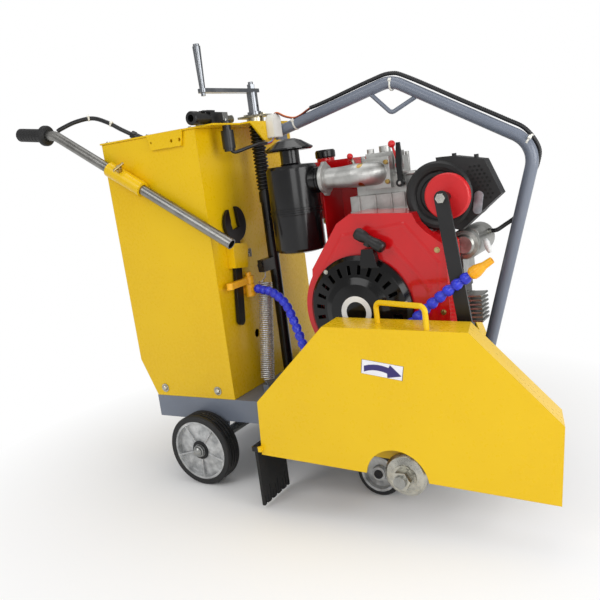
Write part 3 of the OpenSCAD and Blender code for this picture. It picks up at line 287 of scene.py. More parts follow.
def strap(name, rounds, wide=4.6, thick=1.3):
    """Nylon ties: a flat band round each given centre, axis and radius, with its lock on one side."""
    steps = 28
    lock_rise, lock_deep, lock_wide, lock_long = 2.0, 4.6, 7.2, 6.4
    mesh = bmesh.new()
    for centre, axis, radius, lock in rounds:
        axis = axis.normalized()
        side = (lock - axis * lock.dot(axis)).normalized()
        other = axis.cross(side)
        section = ((radius, -wide / 2), (radius + thick, -wide / 2), (radius + thick, wide / 2),
                   (radius, wide / 2))
        rings = []
        for k in range(steps):
            a = 2 * math.pi * k / steps
            out = math.cos(a) * side + math.sin(a) * other
            rings.append([mesh.verts.new(centre + out * r / 1000.0 + axis * w / 1000.0) for r, w in section])
        for a, b in zip(rings, rings[1:] + rings[:1]):
            for k in range(4):
                mesh.faces.new((a[k], b[k], b[(k + 1) % 4], a[(k + 1) % 4]))
        for v in bmesh.ops.create_cube(mesh, size=1.0)["verts"]:
            v.co = centre + (side * (radius + lock_rise + v.co.x * lock_deep) + other * v.co.y * lock_wide
                             + axis * v.co.z * lock_long) / 1000.0
    bmesh.ops.recalc_face_normals(mesh, faces=mesh.faces)
    return settle(mesh, name)


# Polyamide extrusion: near black, with a soft satin sheen over a fine grain.
cable_black = finish("extruded_polyamide_black",
                     look("#17181B", "#0E0F11", 0.36, patch=60, grain=1.5, depth=0.05))
# Moulded nylon: warm white, smooth, with a low sheen and soft edges.
tie_white = finish("moulded_nylon_natural",
                   look("#F2F1EA", "#E4E3DA", 0.42, patch=20, grain=1.0, depth=0.03), edge=0.4)
cable_points = ((-452, -204, 917), (-445, -196, 923), (-420, -166, 937), (-392, -132, 942),
                (-360, -112, 926), (-330, -101, 905), (-300, -94, 887))
cable_line = smooth_line(cable_points, 8)
cable_radius, tie_radius = 5.5, 5.6
throttle_cable = new_piece(tube("throttle_cable_sleeve", cable_line, [cable_radius] * len(cable_line), 20),
                           cable_black, "frame")
cable_rounds = []
for tie_x in (-398.0, -352.0):
    at = min(range(1, len(cable_line) - 1), key=lambda i: abs(cable_line[i].x - place(tie_x, 0, 0).x))
    cable_rounds.append((cable_line[at], cable_line[at + 1] - cable_line[at - 1], tie_radius,
                         Vector((0.3, -0.6, 0.7))))
cable_ties = new_piece(strap("throttle_cable_ties", cable_rounds), tie_white, "frame",
                       smooth=False)
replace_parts(throttle_cable, "throttle_cable")


# Deck: welded plate with folded side rails, cross members and axle hangers, sprayed blue-grey enamel.
# The hoop is bent from steel tube and gets the same enamel; it is bolted through its foot plate.
def dress(material, *names):
    """Gives CAD nodes their material."""
    for name in names:
        data = nodes[name].data
        data.materials.clear()
        data.materials.append(material)


# Sprayed enamel: an even satin film with fine orange peel; paler primer shows on rubbed corners.
grey_enamel = finish("sprayed_enamel_blue_grey",
                     look("#767D8B", "#68707E", 0.34, patch=220, grain=4.0, depth=0.03),
                     edge=1.2, edge_wear_and_sheen="#9A9EA6", **{"Coat Weight": 0.15, "Coat Roughness": 0.18})
dress(grey_enamel, "deck_frame", "hoop")

# Rear wheels: die-cast aluminium centres with ribs, and grooved solid rubber treads pressed on.
# They run on a turned through axle with a domed nut at each end; the front wheels are the same in small.
rear_axis, rear_tread = (-92, 90), 75.55
front_axis, front_tread = (360, 52), 42.05
# Die casting: bright grey with a fine sandy grain and darker flow marks.
cast_centre = look("#D4D5D5", "#8E9091", 0.36, 0.5, patch=22, grain=1.4, depth=0.12)
# Solid rubber: dull black with a rough skin.
tread_rubber = look("#1A1A1B", "#101011", 0.58, patch=45, grain=1.8, depth=0.14)
# Greased steel round the axle nut: a dark, smooth ring.
hub_ring = look("#202123", "#141516", 0.45, 0.3, patch=20, grain=1.0, depth=0.05,
                only=("ring", rear_axis, 16.0, 24.0, -262.0))
# The pale spots on the rear wheels' hard corners are partly dust and partly painted highlight, standing in
# for light caught on the tread's groove edges.
rear_wheel = finish("die_cast_aluminium_and_rubber", cast_centre,
                    dict(tread_rubber, only=("outside", rear_axis, rear_tread)), hub_ring, edge_wear_and_sheen="#8C877C")
dress(rear_wheel, "rear_wheel_near", "rear_wheel_far")
front_wheel = finish("die_cast_aluminium_and_rubber_small", cast_centre,
                     dict(tread_rubber, only=("outside", front_axis, front_tread)))
dress(front_wheel, "front_wheel_near", "front_wheel_far")
# Turned steel: faint rings from the tool, clean and mid grey.
turned_steel = finish("turned_steel", look("#A9AAA8", "#858684", 0.30, 1.0, patch=30, grain=0.8, depth=0.03,
                                           stretch=(1, 14, 1)), edge=0.5)
dress(turned_steel, "rear_axle", "arbor_shaft", "switch_key")

# Front wheel frame and lift tube: welded bar and tube under black enamel; the frame hinges on the rear axle.
# The spanner is forged flat steel, oil blackened, and stands in a pocket on the tank.
# Brushed enamel: deep black with a clear film, greyer on its rubbed corners.
black_enamel = finish("brushed_enamel_black",
                      look("#141417", "#0B0B0D", 0.30, patch=90, grain=2.0, depth=0.06),
                      edge=1.0, edge_wear_and_sheen="#3A3B3F",
                      **{"Specular IOR Level": 0.3, "Coat Weight": 0.2, "Coat Roughness": 0.15})
dress(black_enamel, "swing_frame", "lift_tube")
# Forged steel, oil blackened: uneven near-black with a coarse grain where the scale sat.
forged_black = finish("forged_steel_blackened",
                      look("#1C1B1C", "#0F0F11", 0.36, 0.35, patch=35, grain=2.4, depth=0.12),
                      edge=1.2, edge_wear_and_sheen="#55565A")
dress(forged_black, "spanner")

# Tank and top plate: folded sheet steel, welded, then powder coated yellow; held by dome-headed bolts.
# The guard, the belt cover and the spanner's pocket are cut and coated with them.
# Powder coat: saturated warm yellow, glossy, with a shallow orange peel a few millimetres across.
yellow_look = look("#EBC210", "#E4B908", 0.30, patch=320, grain=7.0, depth=0.012)
yellow_film = {"Specular IOR Level": 0.3, "Coat Weight": 0.1, "Coat Roughness": 0.08}
yellow_coat = finish("powder_coat_yellow", yellow_look, edge=1.4, edge_wear_and_sheen="#C49A10", **yellow_film)
dress(yellow_coat, "tank_body", "top_panel", "belt_cover")
# Powder coat with a satin black rod: the guard's hinge rod for its flap sticks out behind.
guard_coat = finish("powder_coat_yellow_and_black_rod", yellow_look,
                    look("#17171A", "#0D0D0F", 0.4, patch=40, grain=2.0, depth=0.05,
                         only=("past", (138, 0, 0), (-1, 0, 0), 0.0)),
                    edge=1.4, edge_wear_and_sheen="#C49A10", **yellow_film)
dress(guard_coat, "guard_body")
# Zinc plate: pale warm grey in patches, with soft reflections.
zinc_look = look("#C9C7BC", "#A3A29B", 0.30, 1.0, patch=16, grain=1.2, depth=0.04)
zinc_plate = finish("zinc_plate", zinc_look, edge=0.5)
dress(zinc_plate, "tank_bolts", "blade_clamp")

# Handles: drawn steel tubes in welded sleeves, held by clamping screws; rubber grips pushed on.
# The tubes slide in their sleeves when the screws are slack.
# Drawn tube: satin mid grey with fine streaks along it, never mirror bright.
drawn_tube = finish("drawn_steel_tube", look("#9B9A96", "#7C7B78", 0.34, 1.0, patch=40, grain=0.9,
                                             depth=0.035, stretch=(0.08, 1.6, 0.6)), edge=0.5)
dress(drawn_tube, "handle_tube_near", "handle_tube_far")
# Moulded rubber: dull black with a fine matt texture and a slight grey bloom.
grip_rubber = finish("moulded_rubber_black",
                     look("#1B1B1C", "#0E0E0F", 0.55, patch=35, grain=1.6, depth=0.12), edge=0.8)
dress(grip_rubber, "grip_near", "grip_far", "belts")
# Yellow-passivated zinc: brassy, patchy, soft shine.
gold_zinc = finish("yellow_passivated_zinc",
                   look("#C2AE7C", "#9A8656", 0.32, 1.0, patch=12, grain=1.0, depth=0.04), edge=0.5)
dress(gold_zinc, "clamp_screw_near", "clamp_screw_far")

# Water inlet, its lever and the engine switch: black nylon mouldings on the front edge of the top plate.
# The union is knurled nylon, its pipe runs on as a bare metal fitting.
# Glass-filled nylon: black, faintly speckled, low sheen.
nylon_look = look("#18191B", "#0C0D0E", 0.38, patch=40, grain=1.2, depth=0.07)
black_nylon = finish("moulded_nylon_black", nylon_look, edge=0.8)
dress(black_nylon, "inlet_lever", "key_switch", "cable_gland")
# Nylon that gives way to dull, greyed brass behind the union.
inlet_body = finish("moulded_nylon_and_brass", nylon_look,
                    look("#8F8C80", "#66645B", 0.38, 0.9, patch=14, grain=1.3, depth=0.08,
                         only=("past", (0, -122, 0), (0, 1, 0), 0.0)), edge=0.8)
dress(inlet_body, "inlet_valve")

# Lift crank: polished chrome on a forged arm, with a free-turning sleeve as its grip.
# It stands on a plated screw bearing that is bolted to the top plate's tongue.
# Chrome: dark grey with clear reflections and a slight waviness from the forging below.
chrome_plate = finish("chrome_plate",
                      look("#8B8E92", "#6C6F73", 0.2, 1.0, patch=50, grain=6.0, depth=0.03), edge=1.0)
dress(chrome_plate, "crank", "crank_grip")
# Brushed zinc plate: pale and warm, with fine level scratches.
bearing_plate = finish("zinc_plate_brushed", look("#D0CBB8", "#A8A18A", 0.28, 1.0, patch=18, grain=0.9,
                                                  depth=0.05, stretch=(1, 1, 8)), edge=0.6)
dress(bearing_plate, "screw_bearing")


# Bellows: a convoluted rubber sleeve over the lift screw, clamped under the tongue and on the lift tube.
# It is moulded in one piece; each fold is round outside and creased inside.
def sized_tree(name, inputs):
    """A node tree with a named input for each size; also its input node and the values by identifier."""
    tree = bpy.data.node_groups.new(name, "GeometryNodeTree")
    tree.interface.new_socket("Geometry", in_out="INPUT", socket_type="NodeSocketGeometry")
    sizes = {}
    for label, value in inputs.items():
        kind = "NodeSocketInt" if isinstance(value, int) else "NodeSocketFloat"
        sizes[tree.interface.new_socket(label, in_out="INPUT", socket_type=kind).identifier] = value
    tree.interface.new_socket("Geometry", in_out="OUTPUT", socket_type="NodeSocketGeometry")
    return tree, add(tree, "NodeGroupInput"), sizes


def grow(name, start, tree, sizes, last, material):
    """Ends a node tree, runs it on a starting mesh and keeps the result as a plain mesh."""
    real = add(tree, "GeometryNodeRealizeInstances", links={0: last.outputs[0]})
    painted = add(tree, "GeometryNodeSetMaterial", {"Material": material}, {"Geometry": real.outputs[0]})
    add(tree, "NodeGroupOutput", links={0: painted.outputs[0]})
    made = bpy.data.objects.new(name + "_start", start)
    bpy.context.scene.collection.objects.link(made)
    modifier = made.modifiers.new(name, "NODES")
    modifier.node_group = tree
    for key, value in sizes.items():
        modifier[key] = value
    mesh = bpy.data.meshes.new_from_object(made.evaluated_get(bpy.context.evaluated_depsgraph_get()))
    bpy.data.objects.remove(made)
    mesh.name = name
    return mesh


def ribbed_tube(name, line, repeats, steps, waist, swell, sides, outline, material):
    """A tube on a path whose radius repeats between waist and swell mm, built as a node tree.
    outline gives the swell's share along one repeat."""
    path = bpy.data.meshes.new(name + "_path")
    path.from_pydata(line, [(i, i + 1) for i in range(len(line) - 1)], [])
    tree, into, sizes = sized_tree(name, {"Repeats": repeats, "Steps": steps, "Waist": waist / 1000.0,
                                          "Swell": swell / 1000.0, "Sides": sides})
    route = add(tree, "GeometryNodeMeshToCurve", links={0: into.outputs["Geometry"]})
    rings = add(tree, "ShaderNodeMath", {2: 1.0}, {0: into.outputs["Repeats"], 1: into.outputs["Steps"]},
                operation="MULTIPLY_ADD")
    cut = add(tree, "GeometryNodeResampleCurve", links={"Curve": route.outputs[0], "Count": rings.outputs[0]})
    count = add(tree, "GeometryNodeInputIndex")
    turns = add(tree, "ShaderNodeMath", links={0: count.outputs[0], 1: into.outputs["Steps"]},
                operation="DIVIDE")
    share = add(tree, "ShaderNodeMath", links={0: turns.outputs[0]}, operation="FRACT")
    shape = add(tree, "ShaderNodeFloatCurve", links={"Value": share.outputs[0]})
    bend = shape.mapping.curves[0]
    for at, value in outline[1:-1]:
        bend.points.new(at, value)
    bend.points[0].location, bend.points[-1].location = outline[0], outline[-1]
    shape.mapping.update()
    thick = add(tree, "ShaderNodeMapRange", links={"Value": shape.outputs[0], "To Min": into.outputs["Waist"],
                                                   "To Max": into.outputs["Swell"]})
    circle = add(tree, "GeometryNodeCurvePrimitiveCircle", {"Radius": 1.0},
                 {"Resolution": into.outputs["Sides"]})
    skin = add(tree, "GeometryNodeCurveToMesh", {"Fill Caps": True},
               {"Curve": cut.outputs[0], "Profile Curve": circle.outputs[0],
                "Scale": thick.outputs["Result"]})
    return grow(name, path, tree, sizes, skin, material)


# Moulded rubber with a wet black gloss on the folds.
fold_rubber = finish("moulded_rubber_folded",
                     look("#161617", "#0A0A0B", 0.34, patch=30, grain=1.4, depth=0.06), edge=0.6)
bellows_foot, bellows_top = place(52, -34, 702.4), place(52, -34, 860.8)
bellows_line = [bellows_foot.lerp(bellows_top, i / 30) for i in range(31)]
fold_outline = ((0.0, 0.0), (0.2, 0.55), (0.35, 0.95), (0.5, 1.0), (0.65, 0.95), (0.8, 0.55), (1.0, 0.0))
bellows = new_piece(ribbed_tube("bellows_sleeve", bellows_line, repeats=18, steps=10, waist=13.6, swell=18.2,
                                sides=40, outline=fold_outline, material=fold_rubber),
                    fold_rubber, None)
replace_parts(bellows, "bellows")
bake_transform(bellows)

# Tension spring: close-wound steel wire from the lift tube's lug down to the deck, to carry the weight.
# One wire, cold wound, its ends led straight into the lug's slot and the drilled block on the deck.
# Bright spring wire: pale and clean, with a narrow light along every curl.
spring_wire = finish("bright_spring_wire",
                     look("#E2E2E0", "#B4B4B2", 0.26, 0.6, patch=6, grain=0.8, depth=0.03), edge=0.3)
spring_top, spring_foot = Vector((52, -85, 492)), Vector((50, -137, 226))
spring_long = (spring_foot - spring_top).length
down = (spring_foot - spring_top) / spring_long
spring_side = down.cross(Vector((1, 0, 0))).normalized()
spring_other = down.cross(spring_side)
curls, curl_points, curl_radius, wire_radius = 50, 20, 16.5, 1.6
lead = 14.0
pitch = (spring_long - 2 * lead) / curls
# The wire's ends step in from the curls to the spring's middle line, so many mm along it and beside it.
spring_path = [spring_top - down * 19, spring_top - down * 9, spring_top + down,
               spring_top + down * 5 + spring_side * 3, spring_top + down * 8 + spring_side * 9]
for i in range(curls * curl_points + 1):
    swing = 2 * math.pi * i / curl_points
    spring_path.append(spring_top + down * (lead + pitch * i / curl_points)
                       + curl_radius * (math.cos(swing) * spring_side + math.sin(swing) * spring_other))
spring_path += [spring_foot - down * 8 + spring_side * 9, spring_foot - down * 5 + spring_side * 3,
                spring_foot - down, spring_foot + down * 4, spring_foot + down * 13]
spring_line = [place(*p) for p in spring_path]
spring = new_piece(tube("lift_spring_wire", spring_line, [wire_radius] * len(spring_line), 9), spring_wire,
                   None)
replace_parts(spring, "lift_spring")
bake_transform(spring)

# Spanner pocket: a folded yellow sheet pocket on the tank's front with a plated wing bolt at its side.
# It is powder coated with the tank before the bolt goes in.
# Powder coat with pale zinc plate past the pocket's side edge, where the bolt is.
pocket_coat = finish("powder_coat_yellow_and_zinc", yellow_look,
                     dict(zinc_look, only=("past", (4, -140, 500), (0, 0.99144, -0.13053), 31.2)),
                     edge=1.2, **{"Specular IOR Level": 0.3})
dress(pocket_coat, "spanner_holder")

# Water valve, its paddle and the outlet nozzle: acetal mouldings in warm yellow.
# The valve is screwed into the tank; the nozzle is pushed on the front hose's end.
# Acetal: a smooth, waxy gloss in an even warm yellow.
valve_acetal = finish("moulded_acetal_yellow",
                      look("#F5B51C", "#EBA411", 0.30, patch=45, grain=2.0, depth=0.03), edge=0.8,
                      **{"Subsurface Weight": 0.05})
dress(valve_acetal, "water_valve", "valve_lever", "hose_nozzle")

# Cooling hoses: blue acetal ball-joint links snapped together, each link a socket over the next one's ball.
# The supply hose drops from the valve behind the guard; the front one rises from the junction to the nozzle.
# Blue acetal: a strong clear blue with a bright gloss on every link.
hose_blue = finish("moulded_acetal_blue",
                   look("#2B3BDC", "#1E2AB4", 0.24, patch=22, grain=1.6, depth=0.03), edge=0.5)
link_outline = ((0.0, 0.0), (0.1, 0.05), (0.16, 0.75), (0.24, 0.95), (0.5, 1.0), (0.6, 0.96), (0.74, 0.6),
                (0.88, 0.3), (1.0, 0.0))
supply_points = [(39.6, -113.2, 466.9), (60, -121, 465), (100, -136, 460), (143, -155, 438),
                 (176, -180, 404), (206, -205, 360), (230, -224, 322), (264, -233, 293), (312, -235, 284),
                 (357, -235.5, 297), (391, -235.5, 325.4), (414.4, -235.5, 346.1), (430.1, -235.5, 360.0)]
front_points = [(478.8, -235.5, 403.1), (494.5, -235.5, 417), (516, -236, 436.1), (543, -237, 457),
                (570, -238, 476), (597, -238, 493), (614.6, -238, 504.1)]
for hose, points, links in (("hose_supply", supply_points, 25), ("hose_front", front_points, 8)):
    beads = ribbed_tube(hose + "_links", smooth_line(points, 10), repeats=links, steps=12, waist=7.0,
                        swell=11.0, sides=28, outline=link_outline, material=hose_blue)
    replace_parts(new_piece(beads, hose_blue, "frame"), hose)

# Blade shaft bearings: cast iron blocks bolted under the deck, painted dark; the blade flanges are plated.
# The crankshaft with its flywheel and drive pulley is the same kind of casting.
# Painted iron casting: soft corners, sandy skin, grey showing through.
painted_iron = finish("painted_cast_iron",
                      look("#34373C", "#25272B", 0.48, patch=40, grain=2.2, depth=0.2),
                      edge=1.6, edge_wear_and_sheen="#6A6C70")
dress(painted_iron, "arbor_bearings", "crankshaft")


# Rotation arrow: a printed vinyl plate stuck on the guard's near side, a dark arrow on white with a thin
# border. It only shows which way the blade turns.
def flat_plate(name, outline, y, thick):
    """A thin plate with an X, Z outline, standing off the plane Y towards the near side."""
    mesh = bmesh.new()
    back = [mesh.verts.new(place(x, y, z)) for x, z in outline]
    front = [mesh.verts.new(place(x, y - thick, z)) for x, z in outline]
    mesh.faces.new(front)
    mesh.faces.new(list(reversed(back)))
    for k in range(len(outline)):
        n = (k + 1) % len(outline)
        mesh.faces.new((back[k], back[n], front[n], front[k]))
    bmesh.ops.recalc_face_normals(mesh, faces=mesh.faces)
    return settle(mesh, name)


# White vinyl: an even, faintly cool white with a satin face.
vinyl_white = finish("printed_vinyl_white",
                     look("#F0EFF4", "#E4E3EA", 0.35, patch=60, grain=3.0, depth=0.02), edge=0.3)
# Printed ink: a flat violet-blue, slightly duller than the white round it.
vinyl_ink = finish("printed_vinyl_ink",
                   look("#33286E", "#2A2060", 0.38, patch=30, grain=2.0, depth=0.02), edge=0.2)
guard_face, border_share = -328.0, 0.975
corners = ((412.6, 360.9), (407.4, 332.0), (493.6, 319.4), (498.8, 348.3))
middle = Vector((sum(c[0] for c in corners) / 4, sum(c[1] for c in corners) / 4))
inset = [tuple(middle + (Vector(c) - middle) * border_share) for c in corners]
# The arrow's shaft has two shallow arcs for its upper and lower edge.
steps = (0, 0.2, 0.4, 0.6, 0.8, 1.0)
upper = [(416.0 + 51.7 * t, 347.7 + 13.76 * t - 16.76 * t * t) for t in steps]
lower = [(463.5 - 48.9 * t, 333.2 + 20.65 * t - 18.05 * t * t) for t in steps]
arrow_shape = upper + [(471.2, 350.4), (492.7, 328.4), (463.3, 324.3)] + lower
new_piece(flat_plate("arrow_border", corners, guard_face - 0.02, 0.25), vinyl_ink, "guard",
          smooth=False)
new_piece(flat_plate("arrow_plate", inset, guard_face - 0.2, 0.3), vinyl_white, "guard",
          smooth=False)
new_piece(flat_plate("arrow_mark", arrow_shape, guard_face - 0.45, 0.3), vinyl_ink, "guard",
          smooth=False)

# Splash flap: a strip of insertion rubber hung on the guard's rear rod.
# Its lower edge is cut into tongues.
# Cut rubber: dead matt, grey at the cut edges.
flap_rubber = finish("cut_sheet_rubber",
                     look("#171717", "#0B0B0B", 0.68, patch=30, grain=1.5, depth=0.15),
                     edge=0.6, edge_wear_and_sheen="#2E2E2F")
dress(flap_rubber, "mud_flap")

# Guide arm and wheel: sawn flat bar under black enamel, folding on a bolt; a red wheel on a long pin.
# The bolt heads lie proud of the bar and are plated.
# Black enamel with bright zinc plate on what stands proud of the bar.
arm_coat = finish("enamel_black_and_zinc",
                  look("#131316", "#0A0A0C", 0.34, patch=70, grain=2.0, depth=0.06),
                  look("#D2D1CA", "#A9A8A2", 0.26, 1.0, patch=14, grain=1.0, depth=0.03,
                       only=("past", (0, -224.3, 0), (0, -1, 0), 0.0)), edge=0.8)
dress(arm_coat, "guide_arm")
# Cast polyurethane: saturated red with a dull, slightly clouded skin.
wheel_red = finish("cast_polyurethane_red",
                   look("#D01C22", "#C01419", 0.42, patch=40, grain=2.5, depth=0.04), edge=1.4)
dress(wheel_red, "guide_wheel")

# Engine block: a sand-cast aluminium case with a finned barrel, bolted to the deck on two feet.
# Most of it lies behind the shroud.
# Sand casting: dark grey, coarse in its grain, soft on its edges.
block_cast = finish("sand_cast_aluminium_dark",
                    look("#5C5C5B", "#38393A", 0.55, 0.6, patch=40, grain=2.0, depth=0.22), edge=1.4)
dress(block_cast, "engine_block")

# Blower shroud and fuel tank: deep-drawn sheet steel in glossy red enamel.
# The shroud is screwed to the block and stiffened by pressed creases; the tank's corners are drawn round.
# Baked enamel: deep red with a hard, wet gloss; the pressed creases catch the light.
red_look = look("#D0141A", "#BE0D13", 0.18, patch=160, grain=6.0, depth=0.02)
red_film = {"Specular IOR Level": 0.35, "Coat Weight": 0.35, "Coat Roughness": 0.05}
shroud_creases = ((262, 500, 330, 588, 7, 0.9), (330, 588, 470, 604, 7, 0.9), (470, 604, 536, 520, 7, 0.9),
                  (536, 520, 528, 300, 7, 0.9), (440, 560, 512, 470, 9, 1.1), (512, 470, 516, 360, 9, 1.1),
                  (250, 330, 262, 500, 7, 0.9))
red_enamel = finish("baked_enamel_red", red_look, edge=2.0, edge_wear_and_sheen="#8A0A0E", creases=shroud_creases,
                    **red_film)
dress(red_enamel, "shroud")
# The same enamel, with the light running softly round the tank's wide corners.
tank_enamel = finish("baked_enamel_red_tank", red_look, edge=6.0, **red_film)
dress(tank_enamel, "fuel_tank")

# Recoil starter: a deep-drawn, vented cover over the flywheel, with a moulded pull handle.
# A plain white vinyl ring marks its middle.
# Gloss enamel: deep black with sharp highlights; the vinyl ring is a flat warm white.
recoil_coat = finish("gloss_enamel_black_and_vinyl",
                     look("#0D0D0E", "#060607", 0.16, patch=120, grain=3.0, depth=0.03),
                     look("#EDECEA", "#DEDDDA", 0.40, patch=40, grain=2.0, depth=0.02,
                          only=("ring", (357, 428), 23.0, 35.0, -212.0)),
                     edge=1.6, **{"Specular IOR Level": 0.25, "Coat Weight": 0.15, "Coat Roughness": 0.06})
dress(recoil_coat, "recoil_cover")
# Moulded rubber: black with a soft sheen on its rounded ends.
pull_rubber = finish("moulded_rubber_handle",
                     look("#1A191A", "#0D0D0E", 0.48, patch=25, grain=1.4, depth=0.1), edge=1.5)
dress(pull_rubber, "recoil_handle")

# Cylinder head: aluminium castings with cooling fins, and a rocker cover on top.
# The intake elbow is bolted on by its flange with four brassy screws.
# Shot-blasted casting: pale warm grey, fine even grain, soft shine on the elbow; brass on the screws.
flange_screws = tuple((x, z, 5.6) for z in (690, 732) for x in (358, 406))
blast_cast = finish("shot_blasted_aluminium",
                    look("#C3C3C0", "#9D9D9A", 0.40, 0.75, patch=34, grain=1.2, depth=0.14),
                    look("#B79A5C", "#8C7240", 0.32, 1.0, patch=8, grain=0.9, depth=0.05,
                         only=("spots", flange_screws, -88.3)), edge=2.2)
dress(blast_cast, "cylinder_head")

# Air cleaner: a rolled steel can with a rain cap, clamped to the intake elbow.
# The fuel cap and the speed lever share its black.
# Gloss enamel: clean black with a soft-edged highlight down the can.
can_black = finish("gloss_enamel_black",
                   look("#111113", "#080809", 0.22, patch=90, grain=2.6, depth=0.04), edge=1.2,
                   **{"Specular IOR Level": 0.3, "Coat Weight": 0.25, "Coat Roughness": 0.1})
dress(can_black, "air_cleaner", "fuel_cap", "speed_lever")

# Silencer: a pressed steel can and a folded, perforated hood in heat-resistant black; the outlet stays bare.
# The decompression lever by the head is moulded nylon.
# Heat paint: dull charcoal, slightly chalky, browner on rubbed corners; bare grey metal in the outlet.
outlet_spots = tuple((612 + 1.25 * i, 618 + 6.75 * i, 9.4) for i in range(5))
heat_paint = finish("heat_resistant_paint_black",
                    look("#262627", "#151515", 0.46, patch=50, grain=1.6, depth=0.08),
                    look("#B9BCC2", "#8A8D92", 0.35, 0.9, patch=12, grain=1.0, depth=0.04,
                         only=("spots", outlet_spots, -146.4)),
                    edge=1.2, edge_wear_and_sheen="#4A4745", **{"Specular IOR Level": 0.35})
dress(heat_paint, "muffler")
# Red nylon: a bright even red with a smooth sheen.
red_plastic = finish("moulded_nylon_red",
                     look("#D8191E", "#C41216", 0.32, patch=20, grain=1.4, depth=0.03), edge=1.0)
dress(red_plastic, "decompression_lever")

# Bleed knob: a red nylon ball on a short plated stem beside the rocker cover.
# The ball is moulded on the stem, which is screwed into the head.
stem_line = [place(328, -44, 699), place(320, -46, 716), place(312, -48, 735), place(306, -49, 748)]
stem_radius = 3.2
new_piece(tube("bleed_stem", stem_line, [stem_radius] * len(stem_line), 12), zinc_plate, "frame")
ball_line = [place(306 - 0.42 * k, -49 - 0.07 * k, 747 + k) for k in (0, 1.2, 3.5, 7, 10.5, 12.8, 14)]
ball_radii = [0.8, 3.6, 6.2, 7.2, 6.2, 3.6, 0.8]
new_piece(tube("bleed_knob", ball_line, ball_radii, 16), red_plastic, "frame")

# Starter motor and regulator: a turned aluminium end cap and an extruded finned heat sink.
# Both are bolted on the engine's front.
# Machined aluminium: light grey, with a fine grain drawn out crosswise.
starter_alu = finish("machined_aluminium", look("#B5B5B1", "#84847F", 0.36, 0.9, patch=24, grain=1.0,
                                                depth=0.06, stretch=(1, 0.3, 1)), edge=1.0)
dress(starter_alu, "starter_motor")

# Wiring: a moulded white cover over the joint at the hoop's end, coloured wires to the hoop's sleeve,
# and the black sleeve strapped along the hoop down to the starter motor. Two more wires in a short
# sleeve come from the switch.
# White nylon: warm white with a low sheen and very soft corners.
cover_white = finish("moulded_nylon_white",
                     look("#EDECE6", "#DFDED6", 0.42, patch=45, grain=2.0, depth=0.03), edge=5.0)
dress(cover_white, "wire_cover")
# The sleeve's middle runs so far above the hoop's, and then behind its front leg.
above, behind = 18.65, 24.85
loom_points = [(188, 2, 881), (230, 6, 871 + above), (345, 6, 897.5 + above), (398, 6, 905 + above),
               (440, 6, 889 + above), (560, 6, 818 + above), (640, 6, 771 + above), (680, 13, 744 + above),
               (702, behind - 1, 722), (698, behind, 690), (684, behind, 660), (668, behind, 606),
               (648, behind - 1, 582), (622, 17, 565), (608, 9, 557), (596, 8, 556)]
loom_outline = ((0.0, 0.0), (0.3, 0.9), (0.7, 0.9), (1.0, 0.0))
loom = ribbed_tube("cable_loom_sleeve", smooth_line(loom_points, 10), repeats=170, steps=4, waist=4.3,
                   swell=4.8, sides=16, outline=loom_outline, material=cable_black)
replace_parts(new_piece(loom, cable_black, "frame"), "cable_loom")


def wire(name, light, dark, route, shift, radius):
    """One insulated wire of a bundle, set off from the bundle's route by shift mm."""
    # Extruded vinyl: a bright plain colour with a satin skin.
    vinyl = finish("extruded_vinyl_" + name.split("_")[-1],
                   look(light, dark, 0.40, patch=15, grain=1.0, depth=0.03), edge=0.2)
    line = smooth_line([[p + s for p, s in zip(point, shift)] for point in route], 8)
    new_piece(tube(name, line, [radius] * len(line), 10), vinyl, "frame")


joint_route = ((104, -27, 878), (112, -24, 879), (126, -14, 869), (142, 0, 863.5), (160, 4, 868),
               (178, 4, 876), (196, 4, 883))
joint_radius, switch_radius, sleeve_radius = 1.7, 1.6, 4.2
wire("wire_orange", "#E0791C", "#C9640F", joint_route, (0, 0, 2.2), joint_radius)
wire("wire_brown", "#7A2E18", "#5E2010", joint_route, (0, -3.0, 0.4), joint_radius)
wire("wire_grey", "#6E7074", "#54565A", joint_route, (0, 2.6, 0.2), joint_radius)
switch_points = ((48, -146, 803), (54, -138, 799), (72, -112, 806), (87, -86, 812), (90, -58, 812))
switch_line = smooth_line(switch_points, 8)
new_piece(tube("switch_sleeve", switch_line, [sleeve_radius] * len(switch_line), 14), cable_black, "frame")
switch_route = ((90, -62, 812), (91, -52, 812), (95, -42, 816), (98.5, -35, 826))
wire("switch_wire_red", "#C0181C", "#A01014", switch_route, (1.6, 0, -1.4), switch_radius)
wire("switch_wire_blue", "#8FA7C4", "#7690B0", switch_route, (1.8, 0, 1.4), switch_radius)
hoop_radius = 13.5
hoop_rounds = [(place(x, 6, z), Vector(heading), hoop_radius, Vector((0.0, -0.8, 0.6)))
               for x, z, heading in ((141.5, 850.2, (305.5, 0, 69.4)), (398.7, 900.0, (1, 0, -0.1)),
                                     (687, 738, (1, 0, -0.75)))]
new_piece(strap("hoop_ties", hoop_rounds, wide=4.0, thick=1.0), tie_white, "frame",
          smooth=False)

# Connector of the charging lead: a pale nylon housing under the starter's switch.
# It is moulded with a taper at both ends and pushed on its terminal.
# Natural nylon: cool white with a smooth, even sheen.
plug_white = finish("moulded_nylon_clear",
                    look("#E6E7E6", "#CFD1D1", 0.35, patch=20, grain=1.2, depth=0.03), edge=0.8)
connector_line = [place(600 + 1.5 * i, -62, 548 - 6 * i) for i in range(6)]
connector_radii = [4.0, 6.2, 6.6, 6.6, 5.8, 3.0]
new_piece(tube("starter_connector", connector_line, connector_radii, 12), plug_white, "frame")


